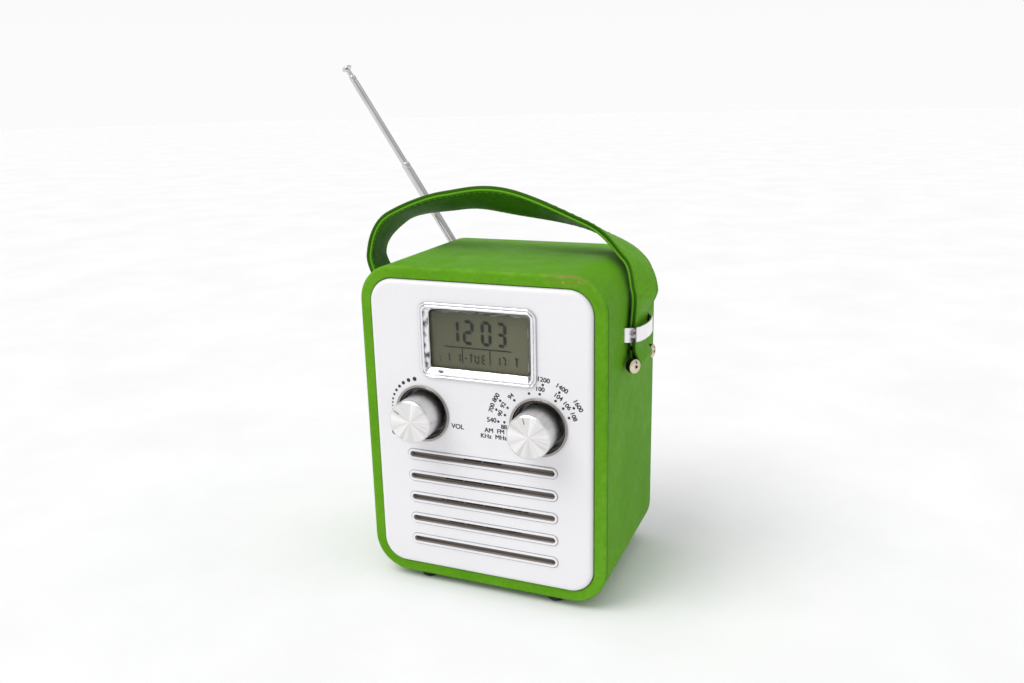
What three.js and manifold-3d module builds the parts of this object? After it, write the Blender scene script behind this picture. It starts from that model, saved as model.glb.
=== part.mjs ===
// Portable retro radio with a clock display, two knobs, a slotted loudspeaker grille,
// a leatherette carrying strap and a telescopic aerial.
//
// Millimetres. +X is the listener's right, +Y points into the cabinet, +Z is up.
// Everything is drawn about the centre of the cabinet's underside, and the feet reach below it.
// At the end the whole radio is moved so that the origin is the bottom centre of its box.

import * as THREE from 'three';
import { mergeVertices } from 'three/addons/utils/BufferGeometryUtils.js';
import Module from 'manifold-3d';

const wasm = await Module();
wasm.setup();

// ---------------------------------------------------------------- driving dimensions

const BODY = { width: 130, height: 167.5, depth: 91, corner: 18.7 };
const WRAP_THICK = 0.8;
const GAP = 0.3;
const RIM = 6.1;

const PANEL = { proud: 2, plate: 2, gap: 0.4, skirt: 10, wall: 2 };
const SLOT = { length: 79, height: 3, count: 5, pitch: 12, top: 69.6, lip: 1.5, raise: 0.6 };
const DISPLAY = { width: 62.2, height: 38.6, corner: 5, z: 131.7, viewWidth: 52, viewHeight: 28.6 };
const WINDOW = { bevel: 2.3, bevelBack: -46, back: -45.9, lens: 0.9, glass: 2.8 };
const KNOB = { x: 31.4, z: 92.5, radius: 11.1, face: -62.1, ring: 15, well: 13.5, wellDepth: 5.5 };
const SLEEVE_WALL = 0.4;
const SPEAKER = { z: 47.7, radius: 28.5, holesRadius: 24.6, ribPitch: 10.8, rib: 0.9, hole: 1.3 };
const FOOT = { radius: 4.5, height: 4, x: 36.5, y: 37.5 };
const STRAP = { width: 24, layer: 1.35, seam: 0.3 };
const KEEPER = { low: 129.8, high: 137.3, halfWidth: 18, leg: 6, bulge: 3.4, metal: 0.9 };
const PIN = { x: 69.2, z: 117.8, radius: 1.6, knobRadius: 3.9, knobNear: 12.4, knobFar: 17.6 };
const AERIAL = { lean: 33, y: 50.5, x: -44.6, z: 142.3, baseEnd: 79.6, midEnd: 139.7 };
const BAY = { halfWidth: 29.6, low: 15.5, high: 74.5, floor: 27.5, wall: 1.6 };
const SCREW = { x: 51.5, low: 14, high: 153.5, radius: 1.3, head: 3 };

const FRONT = -BODY.depth / 2;
const BACK = BODY.depth / 2;
const PANEL_FACE = FRONT - PANEL.proud;
const PANEL_BACK = PANEL_FACE + PANEL.plate;
const BACK_PLATE = 2.3;
const BACK_INNER = BACK - BACK_PLATE;

// Sides of the turned pieces: the large ones in front, ordinary ones, and small or hidden ones.
const FINE = 28;
const ROUND = 16;
const SMALL = 12;

const radians = THREE.MathUtils.degToRad;

// ---------------------------------------------------------------- materials

function finish(color, roughness, metalness = 0) {
  return new THREE.MeshStandardMaterial({ color, roughness, metalness });
}

const LOOKS = {
  leatherette: () => finish(0x549b24, 0.5),
  board: () => finish(0xa98a62, 0.9),
  whitePlastic: () => finish(0xf2f2f2, 0.25),
  darkPlastic: () => finish(0x1c1b1d, 0.35),
  taupePlastic: () => finish(0x6b625c, 0.45),
  chrome: () => finish(0xd9dadb, 0.12, 1),
  spunAluminium: () => finish(0xd6d6d4, 0.3, 1),
  satinRing: () => finish(0xa7a3a0, 0.4, 1),
  nickel: () => finish(0xb3a88e, 0.35, 1),
  steel: () => finish(0x9a9c9e, 0.4, 1),
  rubber: () => finish(0x1a1a1a, 0.85),
  glass: () => finish(0xdfe5df, 0.05),
  displayGlass: () => finish(0x6f7262, 0.15),
  circuit: () => finish(0x2e6b3c, 0.5),
  paper: () => finish(0x24221f, 0.9),
  magnet: () => finish(0x3b3b3d, 0.6, 0.6),
};

// ---------------------------------------------------------------- geometry helpers

function manifoldOf(geometry) {
  const bare = geometry.index ? geometry.toNonIndexed() : geometry.clone();
  bare.deleteAttribute('normal');
  bare.deleteAttribute('uv');
  const merged = mergeVertices(bare, 1e-4);
  const mesh = new wasm.Mesh({
    numProp: 3,
    vertProperties: new Float32Array(merged.attributes.position.array),
    triVerts: new Uint32Array(merged.index.array),
  });
  return new wasm.Manifold(mesh);
}

function geometryOf(manifold) {
  const mesh = manifold.getMesh();
  const geometry = new THREE.BufferGeometry();
  geometry.setAttribute('position', new THREE.BufferAttribute(new Float32Array(mesh.vertProperties), 3));
  geometry.setIndex(new THREE.BufferAttribute(new Uint32Array(mesh.triVerts), 1));
  return geometry;
}

// Joins the first list of geometries and cuts the second list away from it.
function carve(joined, removed = []) {
  let solid = manifoldOf(joined[0]);
  for (const extra of joined.slice(1)) {
    solid = solid.add(manifoldOf(extra));
  }
  for (const tool of removed) {
    solid = solid.subtract(manifoldOf(tool));
  }
  return geometryOf(solid);
}

// A flat outline drawn in X and Z, given thickness from y = near to y = far.
function plateY(shape, near, far, segments = 3) {
  const geometry = new THREE.ExtrudeGeometry(shape, {
    depth: far - near,
    bevelEnabled: false,
    curveSegments: segments,
  });
  geometry.rotateX(Math.PI / 2);
  geometry.translate(0, far, 0);
  return geometry;
}

function roundedRect(halfWidth, low, high, radius) {
  const shape = new THREE.Shape();
  shape.moveTo(-halfWidth + radius, low);
  shape.lineTo(halfWidth - radius, low);
  shape.absarc(halfWidth - radius, low + radius, radius, -Math.PI / 2, 0);
  shape.lineTo(halfWidth, high - radius);
  shape.absarc(halfWidth - radius, high - radius, radius, 0, Math.PI / 2);
  shape.lineTo(-halfWidth + radius, high);
  shape.absarc(-halfWidth + radius, high - radius, radius, Math.PI / 2, Math.PI);
  shape.lineTo(-halfWidth, low + radius);
  shape.absarc(-halfWidth + radius, low + radius, radius, Math.PI, Math.PI * 1.5);
  return shape;
}

// The cabinet's outline moved inwards by the inset.
function bodyOutline(inset) {
  return roundedRect(BODY.width / 2 - inset, inset, BODY.height - inset, BODY.corner - inset);
}

function stadium(length, height, z) {
  return roundedRect(length / 2, z - height / 2, z + height / 2, height / 2 - 0.001);
}

function boxAt(xRange, yRange, zRange) {
  const size = [xRange, yRange, zRange].map(([low, high]) => high - low);
  const geometry = new THREE.BoxGeometry(...size);
  geometry.translate(xRange[0] + size[0] / 2, yRange[0] + size[1] / 2, zRange[0] + size[2] / 2);
  return geometry;
}

// Closed lathe about the Y axis through (x, z). The profile is a list of [radius, y] corners
// that starts and ends on the axis, or closes on itself when it never touches the axis.
function turned(profile, x = 0, z = 0, segments = ROUND) {
  const onAxis = profile[0][0] === 0 && profile[profile.length - 1][0] === 0;
  const corners = onAxis ? profile : [...profile, profile[0]];
  const area = corners.reduce((sum, [r, y], i) => {
    const [nextR, nextY] = corners[(i + 1) % corners.length];
    return sum + r * nextY - nextR * y;
  }, 0);
  const ordered = area > 0 ? corners : [...corners].reverse();
  const points = ordered.map(([r, y]) => new THREE.Vector2(r, y));
  const geometry = new THREE.LatheGeometry(points, segments);
  geometry.translate(x, 0, z);
  return geometry;
}

function rodY(radius, near, far, x = 0, z = 0, segments = ROUND) {
  return turned([[0, near], [radius, near], [radius, far], [0, far]], x, z, segments);
}

// The same lathe turned upright, so that the profile's second value is a height.
function upright(profile, segments = ROUND) {
  const geometry = turned(profile, 0, 0, segments);
  geometry.rotateX(Math.PI / 2);
  return geometry;
}

// A closed strip through rings of points, every ring with the same number of corners.
// The far half of each ring is split along the other diagonal, so that the two sides of a
// twisted strip stay parallel.
function sweep(rings) {
  const count = rings[0].length;
  const positions = rings.flat().flatMap((point) => point.toArray());
  const index = [];
  for (let ring = 0; ring < rings.length - 1; ring++) {
    for (let corner = 0; corner < count; corner++) {
      const a = ring * count + corner;
      const b = ring * count + ((corner + 1) % count);
      const opposite = corner * 2 >= count;
      const faces = opposite
        ? [a, b, a + count, b, b + count, a + count]
        : [a, b, b + count, a, b + count, a + count];
      index.push(...faces);
    }
  }
  const last = (rings.length - 1) * count;
  for (let corner = 1; corner < count - 1; corner++) {
    index.push(0, corner + 1, corner);
    index.push(last, last + corner, last + corner + 1);
  }
  const geometry = new THREE.BufferGeometry();
  geometry.setAttribute('position', new THREE.Float32BufferAttribute(positions, 3));
  geometry.setIndex(index);
  return geometry;
}

const radio = new THREE.Group();

function piece(name, geometry, material, parent = radio) {
  const mesh = new THREE.Mesh(geometry, material);
  mesh.name = name;
  parent.add(mesh);
  return mesh;
}

// ---------------------------------------------------------------- cabinet

const CORE_INSET = WRAP_THICK + GAP;
const CORE_FRONT = FRONT + CORE_INSET;
const CORE_BACK = BACK - CORE_INSET;

// Slots in both side walls that take the keepers' legs.
function keeperSlots(depth) {
  const slots = [];
  const outer = BODY.width / 2;
  for (const side of [-1, 1]) {
    for (const end of [-1, 1]) {
      const x = side * outer;
      const xRange = side > 0 ? [x - depth, x + 1] : [x - 1, x + depth];
      const far = end * (KEEPER.halfWidth + GAP);
      const near = end * (KEEPER.halfWidth - KEEPER.metal - GAP);
      const yRange = [Math.min(near, far), Math.max(near, far)];
      slots.push(boxAt(xRange, yRange, [KEEPER.low - GAP, KEEPER.high + GAP]));
    }
  }
  return slots;
}

function footHoles(depth) {
  return [-1, 1].flatMap((side) => [-1, 1].map((end) => {
    const hole = upright([[0, -1], [2.3, -1], [2.3, depth], [0, depth]], SMALL);
    hole.translate(side * FOOT.x, end * FOOT.y, 0);
    return hole;
  }));
}

// Four wooden blocks glued into the rear corners, each with a pilot hole for a back screw.
function cornerBlocks() {
  const reach = 12;
  const wall = BODY.width / 2 - CORE_INSET - 1;
  return [-1, 1].flatMap((side) => [[RIM - 4, RIM + reach], [BODY.height - RIM - reach, BODY.height - RIM + 4]].map(
    (zRange) => {
      const xRange = side > 0 ? [wall - reach - 4, wall] : [-wall, -wall + reach + 4];
      return boxAt(xRange, [22, BACK_INNER - GAP], zRange);
    },
  ));
}

function screwHoles(radius, near, far) {
  return [-1, 1].flatMap((side) => [SCREW.low, SCREW.high].map(
    (z) => rodY(radius, near, far, side * SCREW.x, z, SMALL),
  ));
}

function cabinetCore() {
  const tube = manifoldOf(plateY(bodyOutline(CORE_INSET), CORE_FRONT, CORE_BACK));
  const bore = manifoldOf(plateY(bodyOutline(RIM), CORE_FRONT - 1, CORE_BACK + 1));
  const outside = manifoldOf(plateY(bodyOutline(CORE_INSET), CORE_FRONT, CORE_BACK));
  const blocks = cornerBlocks().map((block) => manifoldOf(block).intersect(outside));
  let core = tube.subtract(bore);
  for (const block of blocks) {
    core = core.add(block);
  }
  const cuts = [...keeperSlots(4.2), ...footHoles(5), ...screwHoles(SCREW.radius + GAP, 30, BACK)];
  for (const cut of cuts) {
    core = core.subtract(manifoldOf(cut));
  }
  return geometryOf(core);
}

function leatheretteWrap() {
  const skin = plateY(bodyOutline(0), FRONT, BACK, 4);
  const inside = plateY(bodyOutline(WRAP_THICK), FRONT + WRAP_THICK, BACK - WRAP_THICK, 4);
  const mouth = plateY(bodyOutline(RIM), FRONT - 1, BACK + 1, 4);
  return carve([skin], [inside, mouth, ...keeperSlots(2), ...footHoles(5)]);
}

piece('cabinet_core', cabinetCore(), LOOKS.board());
piece('leatherette_wrap', leatheretteWrap(), LOOKS.leatherette());

// ---------------------------------------------------------------- front panel

const SLOT_ROWS = Array.from({ length: SLOT.count }, (_, row) => SLOT.top - row * SLOT.pitch);
const PANEL_INSET = RIM + PANEL.gap;
const BOSS = { x: 52, low: 84, high: 150, radius: 3, pin: 1.5, end: -25.3, pinEnd: -22 };

function panelBosses() {
  return [-1, 1].flatMap((side) => [BOSS.low, BOSS.high].map((z) => turned(
    [[0, PANEL_BACK - 1], [BOSS.radius, PANEL_BACK - 1], [BOSS.radius, BOSS.end],
      [BOSS.pin, BOSS.end], [BOSS.pin, BOSS.pinEnd], [0, BOSS.pinEnd]],
    side * BOSS.x,
    z,
    SMALL,
  )));
}

function frontPanel() {
  const block = plateY(bodyOutline(PANEL_INSET), PANEL_FACE, PANEL_FACE + PANEL.skirt);
  const inside = plateY(bodyOutline(PANEL_INSET + PANEL.wall), PANEL_BACK, PANEL_FACE + PANEL.skirt + 1);
  const shell = geometryOf(manifoldOf(block).subtract(manifoldOf(inside)));
  const lips = SLOT_ROWS.map((z) => plateY(
    stadium(SLOT.length + 2 * SLOT.lip, SLOT.height + 2 * SLOT.lip, z),
    PANEL_FACE - SLOT.raise,
    PANEL_FACE + 1,
    2,
  ));
  const slots = SLOT_ROWS.map((z) => plateY(stadium(SLOT.length, SLOT.height, z), PANEL_FACE - 3, PANEL_BACK + 1, 2));
  const window = plateY(
    roundedRect(DISPLAY.width / 2 - 1.4, DISPLAY.z - DISPLAY.height / 2 + 1.4,
      DISPLAY.z + DISPLAY.height / 2 - 1.4, DISPLAY.corner - 1.4),
    PANEL_FACE - 3,
    PANEL_BACK + 1,
    2,
  );
  const wellHole = KNOB.well + GAP + SLEEVE_WALL + GAP;
  const wells = [-1, 1].map((side) => (
    rodY(wellHole, PANEL_FACE - 3, PANEL_BACK + 1, side * KNOB.x, KNOB.z, FINE)));
  return carve([shell, ...lips, ...panelBosses()], [...slots, window, ...wells]);
}

piece('front_panel', frontPanel(), LOOKS.whitePlastic());

// ---------------------------------------------------------------- loudspeaker

const BAFFLE_FACE = PANEL_BACK + GAP;
const BAFFLE_THICK = 1.5;

// Sound holes: one row behind each slot, as wide as a circle in front of the cone,
// interrupted by thin ribs.
function soundHoles() {
  const holes = [];
  for (const z of SLOT_ROWS) {
    const chord = SPEAKER.holesRadius ** 2 - (z - SPEAKER.z) ** 2;
    if (chord <= 0) {
      continue;
    }
    const reach = Math.sqrt(chord);
    for (let rib = -3; rib < 3; rib++) {
      const left = Math.max(rib * SPEAKER.ribPitch + SPEAKER.rib / 2, -reach);
      const right = Math.min((rib + 1) * SPEAKER.ribPitch - SPEAKER.rib / 2, reach);
      if (right - left > 2) {
        const zRange = [z - SPEAKER.hole / 2, z + SPEAKER.hole / 2];
        holes.push(boxAt([left, right], [BAFFLE_FACE - 1, BAFFLE_FACE + BAFFLE_THICK + 1], zRange));
      }
    }
  }
  return holes;
}

function speakerBaffle() {
  const plate = plateY(roundedRect(46, 12, 76, 4), BAFFLE_FACE, BAFFLE_FACE + BAFFLE_THICK, 2);
  return carve([plate], soundHoles());
}

const CONE_FRONT = BAFFLE_FACE + BAFFLE_THICK + GAP;
const BASKET = { flange: 1.2, depth: 15, backRadius: 16 };

function speakerBasket() {
  const near = CONE_FRONT;
  const far = near + BASKET.depth;
  return turned([
    [SPEAKER.radius, near], [SPEAKER.radius, near + BASKET.flange], [26.4, near + BASKET.flange],
    [BASKET.backRadius, far], [4, far], [4, far - 1], [BASKET.backRadius - 0.8, far - 1],
    [25.4, near],
  ], 0, SPEAKER.z, 20);
}

function speakerCone() {
  const near = CONE_FRONT + 1.2;
  return turned([
    [0, near + 8.4], [6.5, near + 8.4], [22, near + 0.6], [23.6, near], [23.6, near + 0.7],
    [22, near + 1.3], [6.5, near + 9.2], [0, near + 9.2],
  ], 0, SPEAKER.z, 20);
}

function dustCap() {
  const base = CONE_FRONT + 9.2;
  return turned([[0, base - 2.6], [3.2, base - 2.1], [6, base - 0.4], [6, base], [0, base]], 0, SPEAKER.z, 16);
}

piece('speaker_baffle', speakerBaffle(), LOOKS.taupePlastic());
piece('speaker_basket', speakerBasket(), LOOKS.steel());
piece('speaker_cone', speakerCone(), LOOKS.paper());
piece('speaker_dust_cap', dustCap(), LOOKS.paper());
const MAGNET_FRONT = CONE_FRONT + BASKET.depth + GAP;
piece('speaker_magnet', rodY(15.5, MAGNET_FRONT, MAGNET_FRONT + 9, 0, SPEAKER.z, 20), LOOKS.magnet());

// ---------------------------------------------------------------- clock display

function displayFrame(grow) {
  const half = DISPLAY.height / 2 + grow;
  return roundedRect(DISPLAY.width / 2 + grow, DISPLAY.z - half, DISPLAY.z + half, DISPLAY.corner + grow);
}

function viewOpening(grow) {
  const half = DISPLAY.viewHeight / 2 + grow;
  return roundedRect(DISPLAY.viewWidth / 2 + grow, DISPLAY.z - half, DISPLAY.z + half, 1 + grow / 2);
}

// The bezel's mouth slopes inwards from its rim to the glass.
function lcdBezel() {
  const rimBack = PANEL_FACE - GAP;
  const rimFront = rimBack - 0.9;
  const rim = plateY(displayFrame(0), rimFront, rimBack, 3);
  const body = plateY(displayFrame(-1.7), rimBack - 0.1, WINDOW.back, 3);
  const wide = manifoldOf(plateY(viewOpening(WINDOW.bevel), rimFront - 0.1, rimFront, 2));
  const narrow = manifoldOf(plateY(viewOpening(0), WINDOW.bevelBack, WINDOW.back + 1, 2));
  return carve([rim, body], [geometryOf(wasm.Manifold.hull([wide, narrow]))]);
}

const LENS_FRONT = WINDOW.back + GAP;
const GLASS_FRONT = LENS_FRONT + WINDOW.lens + GAP;
const GLASS_BACK = GLASS_FRONT + WINDOW.glass;

piece('lcd_bezel', lcdBezel(), LOOKS.chrome());
piece('lcd_lens', plateY(viewOpening(1.4), LENS_FRONT, LENS_FRONT + WINDOW.lens, 2), LOOKS.glass());
piece('lcd_display', plateY(viewOpening(2.4), GLASS_FRONT, GLASS_BACK, 2), LOOKS.displayGlass());
const clockBoardY = [GLASS_BACK + GAP, GLASS_BACK + GAP + 1.6];
piece('clock_board', boxAt([-32, 32], clockBoardY, [DISPLAY.z - 21, DISPLAY.z + 21]), LOOKS.circuit());

// ---------------------------------------------------------------- knobs and controls behind them

const WELL_FLOOR = PANEL_FACE + KNOB.wellDepth;
const CONTROL = { front: -38.5, back: -25.6, bushing: -40.2 };

// A bevelled flange on the panel's face, with a thin sleeve through the panel's hole.
function wellRing(x) {
  const inner = KNOB.well + GAP;
  const sleeve = inner + SLEEVE_WALL;
  const seat = PANEL_FACE - GAP;
  return turned([
    [KNOB.ring, seat], [KNOB.ring, seat - 0.5], [inner, seat - 0.1],
    [inner, PANEL_BACK + 1.5], [sleeve, PANEL_BACK + 1.5], [sleeve, seat],
  ], x, KNOB.z, FINE);
}

function knobWell(x) {
  return turned([
    [KNOB.well, PANEL_FACE + 0.3], [KNOB.well, WELL_FLOOR + 1.2], [3.5, WELL_FLOOR + 1.2],
    [3.5, WELL_FLOOR], [KNOB.well - 0.8, WELL_FLOOR], [KNOB.well - 0.8, PANEL_FACE + 0.3],
  ], x, KNOB.z, FINE);
}

function knob(x) {
  const base = WELL_FLOOR - GAP;
  return turned([
    [0, KNOB.face + 0.3], [KNOB.radius - 0.7, KNOB.face], [KNOB.radius, KNOB.face + 0.7],
    [KNOB.radius, base], [KNOB.radius - 1.6, base], [KNOB.radius - 1.6, KNOB.face + 5],
    [5, KNOB.face + 5], [5, base - 1.5], [3.3, base - 1.5], [3.3, KNOB.face + 6], [0, KNOB.face + 6],
  ], x, KNOB.z, FINE);
}

function shaft(x) {
  return turned([
    [0, KNOB.face + 6 + GAP], [3, KNOB.face + 6 + GAP], [3, CONTROL.bushing - GAP],
    [2, CONTROL.bushing - GAP], [2, CONTROL.front + 8.4], [0, CONTROL.front + 8.4],
  ], x, KNOB.z, SMALL);
}

const controlBore = (x) => rodY(2.3, CONTROL.bushing - 1, CONTROL.front + 8.8, x, KNOB.z, SMALL);

function potentiometer(x) {
  const can = rodY(8.5, CONTROL.front, CONTROL.back, x, KNOB.z, 20);
  const bushing = rodY(3.4, CONTROL.bushing, CONTROL.front + 1, x, KNOB.z, SMALL);
  return carve([can, bushing], [controlBore(x)]);
}

function tuningCapacitor(x) {
  const can = boxAt([x - 10, x + 10], [CONTROL.front, CONTROL.back], [KNOB.z - 10, KNOB.z + 10]);
  const bushing = rodY(3.4, CONTROL.bushing, CONTROL.front + 1, x, KNOB.z, SMALL);
  return carve([can, bushing], [controlBore(x)]);
}

for (const [name, x] of [['volume', -KNOB.x], ['tuning', KNOB.x]]) {
  piece(`${name}_ring`, wellRing(x), LOOKS.satinRing());
  piece(`${name}_well`, knobWell(x), LOOKS.darkPlastic());
  piece(`${name}_knob`, knob(x), LOOKS.spunAluminium());
  piece(`${name}_shaft`, shaft(x), LOOKS.steel());
}
piece('volume_potentiometer', potentiometer(-KNOB.x), LOOKS.steel());
piece('tuning_capacitor', tuningCapacitor(KNOB.x), LOOKS.whitePlastic());

// The main board hangs on the front panel's four bosses; the bosses' pins pass through it.
function mainBoard() {
  const near = CONTROL.back + GAP;
  const sheet = boxAt([-56, 56], [near, near + 1.6], [80, 155]);
  const holes = [-1, 1].flatMap((side) => [BOSS.low, BOSS.high].map(
    (z) => rodY(BOSS.pin + GAP, near - 1, near + 3, side * BOSS.x, z, SMALL),
  ));
  return carve([sheet], holes);
}

function ferriteRod() {
  const rod = upright([[0, -45], [4, -45], [4, 45], [0, 45]], SMALL);
  rod.rotateY(Math.PI / 2);
  rod.translate(0, -17, 146);
  return rod;
}

piece('main_board', mainBoard(), LOOKS.circuit());
piece('ferrite_rod', ferriteRod(), LOOKS.magnet());

// ---------------------------------------------------------------- back panel

const BUTTONS = { z: 92, radius: 3.2, pitch: 14, count: 4, proud: 1.2 };
const SWITCHES = { z: 110, x: 16, halfSlot: 5.5, halfKnob: 2.6, halfHeight: 2, travel: 5 };
const JACKS = { z: 92, x: 46, dc: 4.2, aux: 3.2 };
const buttonX = (i) => (i - (BUTTONS.count - 1) / 2) * BUTTONS.pitch;

function backPanel() {
  const plate = plateY(bodyOutline(PANEL_INSET), BACK_INNER, BACK);
  const door = plateY(roundedRect(BAY.halfWidth + 1.4, BAY.low - 1.4, BAY.high + 1.4, 1.5), 0, 60, 2);
  const buttons = Array.from({ length: BUTTONS.count }, (_, i) => (
    rodY(BUTTONS.radius + GAP, 40, 60, buttonX(i), BUTTONS.z, SMALL)));
  const switches = [-1, 1].map((side) => boxAt(
    [side * SWITCHES.x - SWITCHES.halfSlot, side * SWITCHES.x + SWITCHES.halfSlot],
    [40, 60],
    [SWITCHES.z - SWITCHES.halfHeight - GAP, SWITCHES.z + SWITCHES.halfHeight + GAP],
  ));
  const jacks = [
    rodY(JACKS.dc + GAP, 40, 60, JACKS.x, JACKS.z, SMALL),
    rodY(JACKS.aux + GAP, 40, 60, -JACKS.x, JACKS.z, SMALL),
  ];
  const stem = rodY(3.3, 40, 60, AERIAL.x, AERIAL.z, ROUND);
  const counterbores = screwHoles(SCREW.head + GAP, BACK - 1, 60);
  return carve([plate], [door, ...buttons, ...switches, ...jacks, stem,
    ...screwHoles(SCREW.radius + GAP, 40, 60), ...counterbores]);
}

function backScrew(x, z) {
  const seat = BACK - 1 - GAP + 0.6;
  return turned([
    [0, 31], [SCREW.radius, 31], [SCREW.radius, seat], [SCREW.head, seat],
    [SCREW.head, seat + 0.9], [SCREW.head - 0.9, seat + 1.7], [0, seat + 1.7],
  ], x, z, SMALL);
}

function batteryBox() {
  const { halfWidth, low, high, floor, wall } = BAY;
  const rim = BACK_INNER - GAP;
  const tray = boxAt([-halfWidth - wall, halfWidth + wall], [floor - wall, rim], [low - wall, high + wall]);
  const inside = boxAt([-halfWidth, halfWidth], [floor, rim + 1], [low, high]);
  return carve([tray], [inside]);
}

// The door fills the panel's opening; it swings out about its lower edge.
const DOOR = { halfWidth: BAY.halfWidth + 1.1, low: BAY.low - 1.1, high: BAY.high + 1.1, thick: 2 };

function batteryDoor() {
  const cover = plateY(roundedRect(DOOR.halfWidth, DOOR.low, DOOR.high, 1.2), BACK - DOOR.thick, BACK, 2);
  const notch = rodY(7, BACK - 0.8, BACK + 1, 0, DOOR.high + 2, ROUND);
  return carve([cover], [notch]);
}

// A sprung contact plate with two conical springs for the cells' negative ends.
function batteryContact(side) {
  const x = side * (BAY.halfWidth - GAP);
  const inner = x - side * 0.6;
  const plate = boxAt([Math.min(x, inner), Math.max(x, inner)], [29, 41.5], [17.5, 72.5]);
  const cell = (BAY.high - BAY.low) / 4;
  const springs = [0, 2].map((i) => {
    const z = BAY.low + cell * (i + (side > 0 ? 0.5 : 1.5));
    const cone = upright([[0, 0], [4, 0], [2, 5], [0, 5]], SMALL);
    cone.rotateY(-side * Math.PI / 2);
    cone.translate(inner + side * 0.05, 35.2, z);
    return cone;
  });
  return carve([plate, ...springs]);
}

piece('back_panel', backPanel(), LOOKS.whitePlastic());
piece('battery_box', batteryBox(), LOOKS.darkPlastic());
piece('battery_door', batteryDoor(), LOOKS.whitePlastic());
piece('battery_contact_left', batteryContact(-1), LOOKS.steel());
piece('battery_contact_right', batteryContact(1), LOOKS.steel());

[[-1, SCREW.low], [1, SCREW.low], [-1, SCREW.high], [1, SCREW.high]].forEach(([side, z], i) => {
  piece(`back_screw_${i + 1}`, backScrew(side * SCREW.x, z), LOOKS.steel());
});

// Push buttons that set the clock: a cap in the panel and a flange behind it.
const BUTTON_NAMES = ['mode_button', 'set_button', 'down_button', 'up_button'];
BUTTON_NAMES.forEach((name, i) => {
  const flange = BACK_INNER - GAP;
  piece(name, turned([
    [0, flange - 1.4], [BUTTONS.radius + 1.2, flange - 1.4], [BUTTONS.radius + 1.2, flange],
    [BUTTONS.radius, flange], [BUTTONS.radius, BACK + BUTTONS.proud - 0.3],
    [BUTTONS.radius - 0.4, BACK + BUTTONS.proud], [0, BACK + BUTTONS.proud],
  ], buttonX(i), BUTTONS.z, SMALL), LOOKS.taupePlastic());
});

// Slide switches: a thumb piece at the low end of its slot, on a slider plate behind the panel.
for (const [name, slotX] of [['band_switch', -SWITCHES.x], ['alarm_switch', SWITCHES.x]]) {
  const { z, halfKnob, halfHeight } = SWITCHES;
  const x = slotX - SWITCHES.travel / 2;
  const thumb = boxAt([x - halfKnob, x + halfKnob], [BACK_INNER - 2, BACK + 1.3], [z - halfHeight, z + halfHeight]);
  const slider = boxAt([x - 8, x + 8], [BACK_INNER - 1.7, BACK_INNER - GAP], [z - 3.6, z + 3.6]);
  piece(name, carve([thumb, slider]), LOOKS.darkPlastic());
}

function jack(radius, bore, x, depth, pin) {
  const mouth = BACK - 0.3;
  const profile = pin > 0
    ? [[0, mouth - 1.5], [pin, mouth - 1.5], [pin, mouth - depth], [bore, mouth - depth]]
    : [[0, mouth - depth], [bore, mouth - depth]];
  return turned([
    ...profile, [bore, mouth], [radius, mouth], [radius, mouth - depth - 2], [0, mouth - depth - 2],
  ], x, JACKS.z, SMALL);
}

// The small board behind the back panel that the buttons and switches act on.
piece('rear_board', boxAt([-38, 38], [36.2, 37.8], [84, 118]), LOOKS.circuit());

piece('dc_jack', jack(JACKS.dc, 2.8, JACKS.x, 9, 1), LOOKS.darkPlastic());
piece('aux_jack', jack(JACKS.aux, 1.8, -JACKS.x, 14, 0), LOOKS.darkPlastic());

// ---------------------------------------------------------------- feet

[[-1, -1], [1, -1], [-1, 1], [1, 1]].forEach(([side, end], i) => {
  const foot = upright([
    [0, -FOOT.height], [FOOT.radius - 0.8, -FOOT.height], [FOOT.radius, -FOOT.height + 0.8],
    [FOOT.radius, -GAP], [2, -GAP], [2, 4.5], [0, 4.5],
  ], ROUND);
  const mesh = piece(`foot_${i + 1}`, foot, LOOKS.rubber());
  mesh.position.set(side * FOOT.x, end * FOOT.y, 0);
});

// ---------------------------------------------------------------- carrying strap

const HALF_BODY = BODY.width / 2;
const STRAP_X = HALF_BODY + 3;
const LOOP_RADIUS = PIN.radius + GAP + STRAP.layer / 2;

// The strap's arch: points on its mid-line from the left side, over the top, to the right side,
// and its twist about that line in degrees. It sags back a little behind the cabinet's middle.
const ARCH = [
  { at: [-STRAP_X, 0, 138], twist: 1 },
  { at: [-83, 4, 163.5], twist: 10 },
  { at: [-72, 9.5, 183.5], twist: -10 },
  { at: [-39, 13, 192.8], twist: -25 },
  { at: [-7, 13, 193.2], twist: -37 },
  { at: [38, 12.6, 181.8], twist: -17 },
  { at: [62, 9, 167.3], twist: 1 },
  { at: [70.2, 1.2, 152.7], twist: 13 },
  { at: [STRAP_X, 0, 138], twist: 1 },
];

const archCurve = new THREE.CatmullRomCurve3(
  [
    new THREE.Vector3(-STRAP_X, 0, 127),
    ...ARCH.map(({ at }) => new THREE.Vector3(...at)),
    new THREE.Vector3(STRAP_X, 0, 127),
  ],
  false,
  'catmullrom',
);
const ARCH_TWISTS = [0, ...ARCH.map(({ twist }) => twist), 0];

function archTwist(t) {
  const place = t * (ARCH_TWISTS.length - 1);
  const low = Math.min(Math.floor(place), ARCH_TWISTS.length - 2);
  const blend = THREE.MathUtils.smoothstep(place - low, 0, 1);
  return radians(THREE.MathUtils.lerp(ARCH_TWISTS[low], ARCH_TWISTS[low + 1], blend));
}

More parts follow.
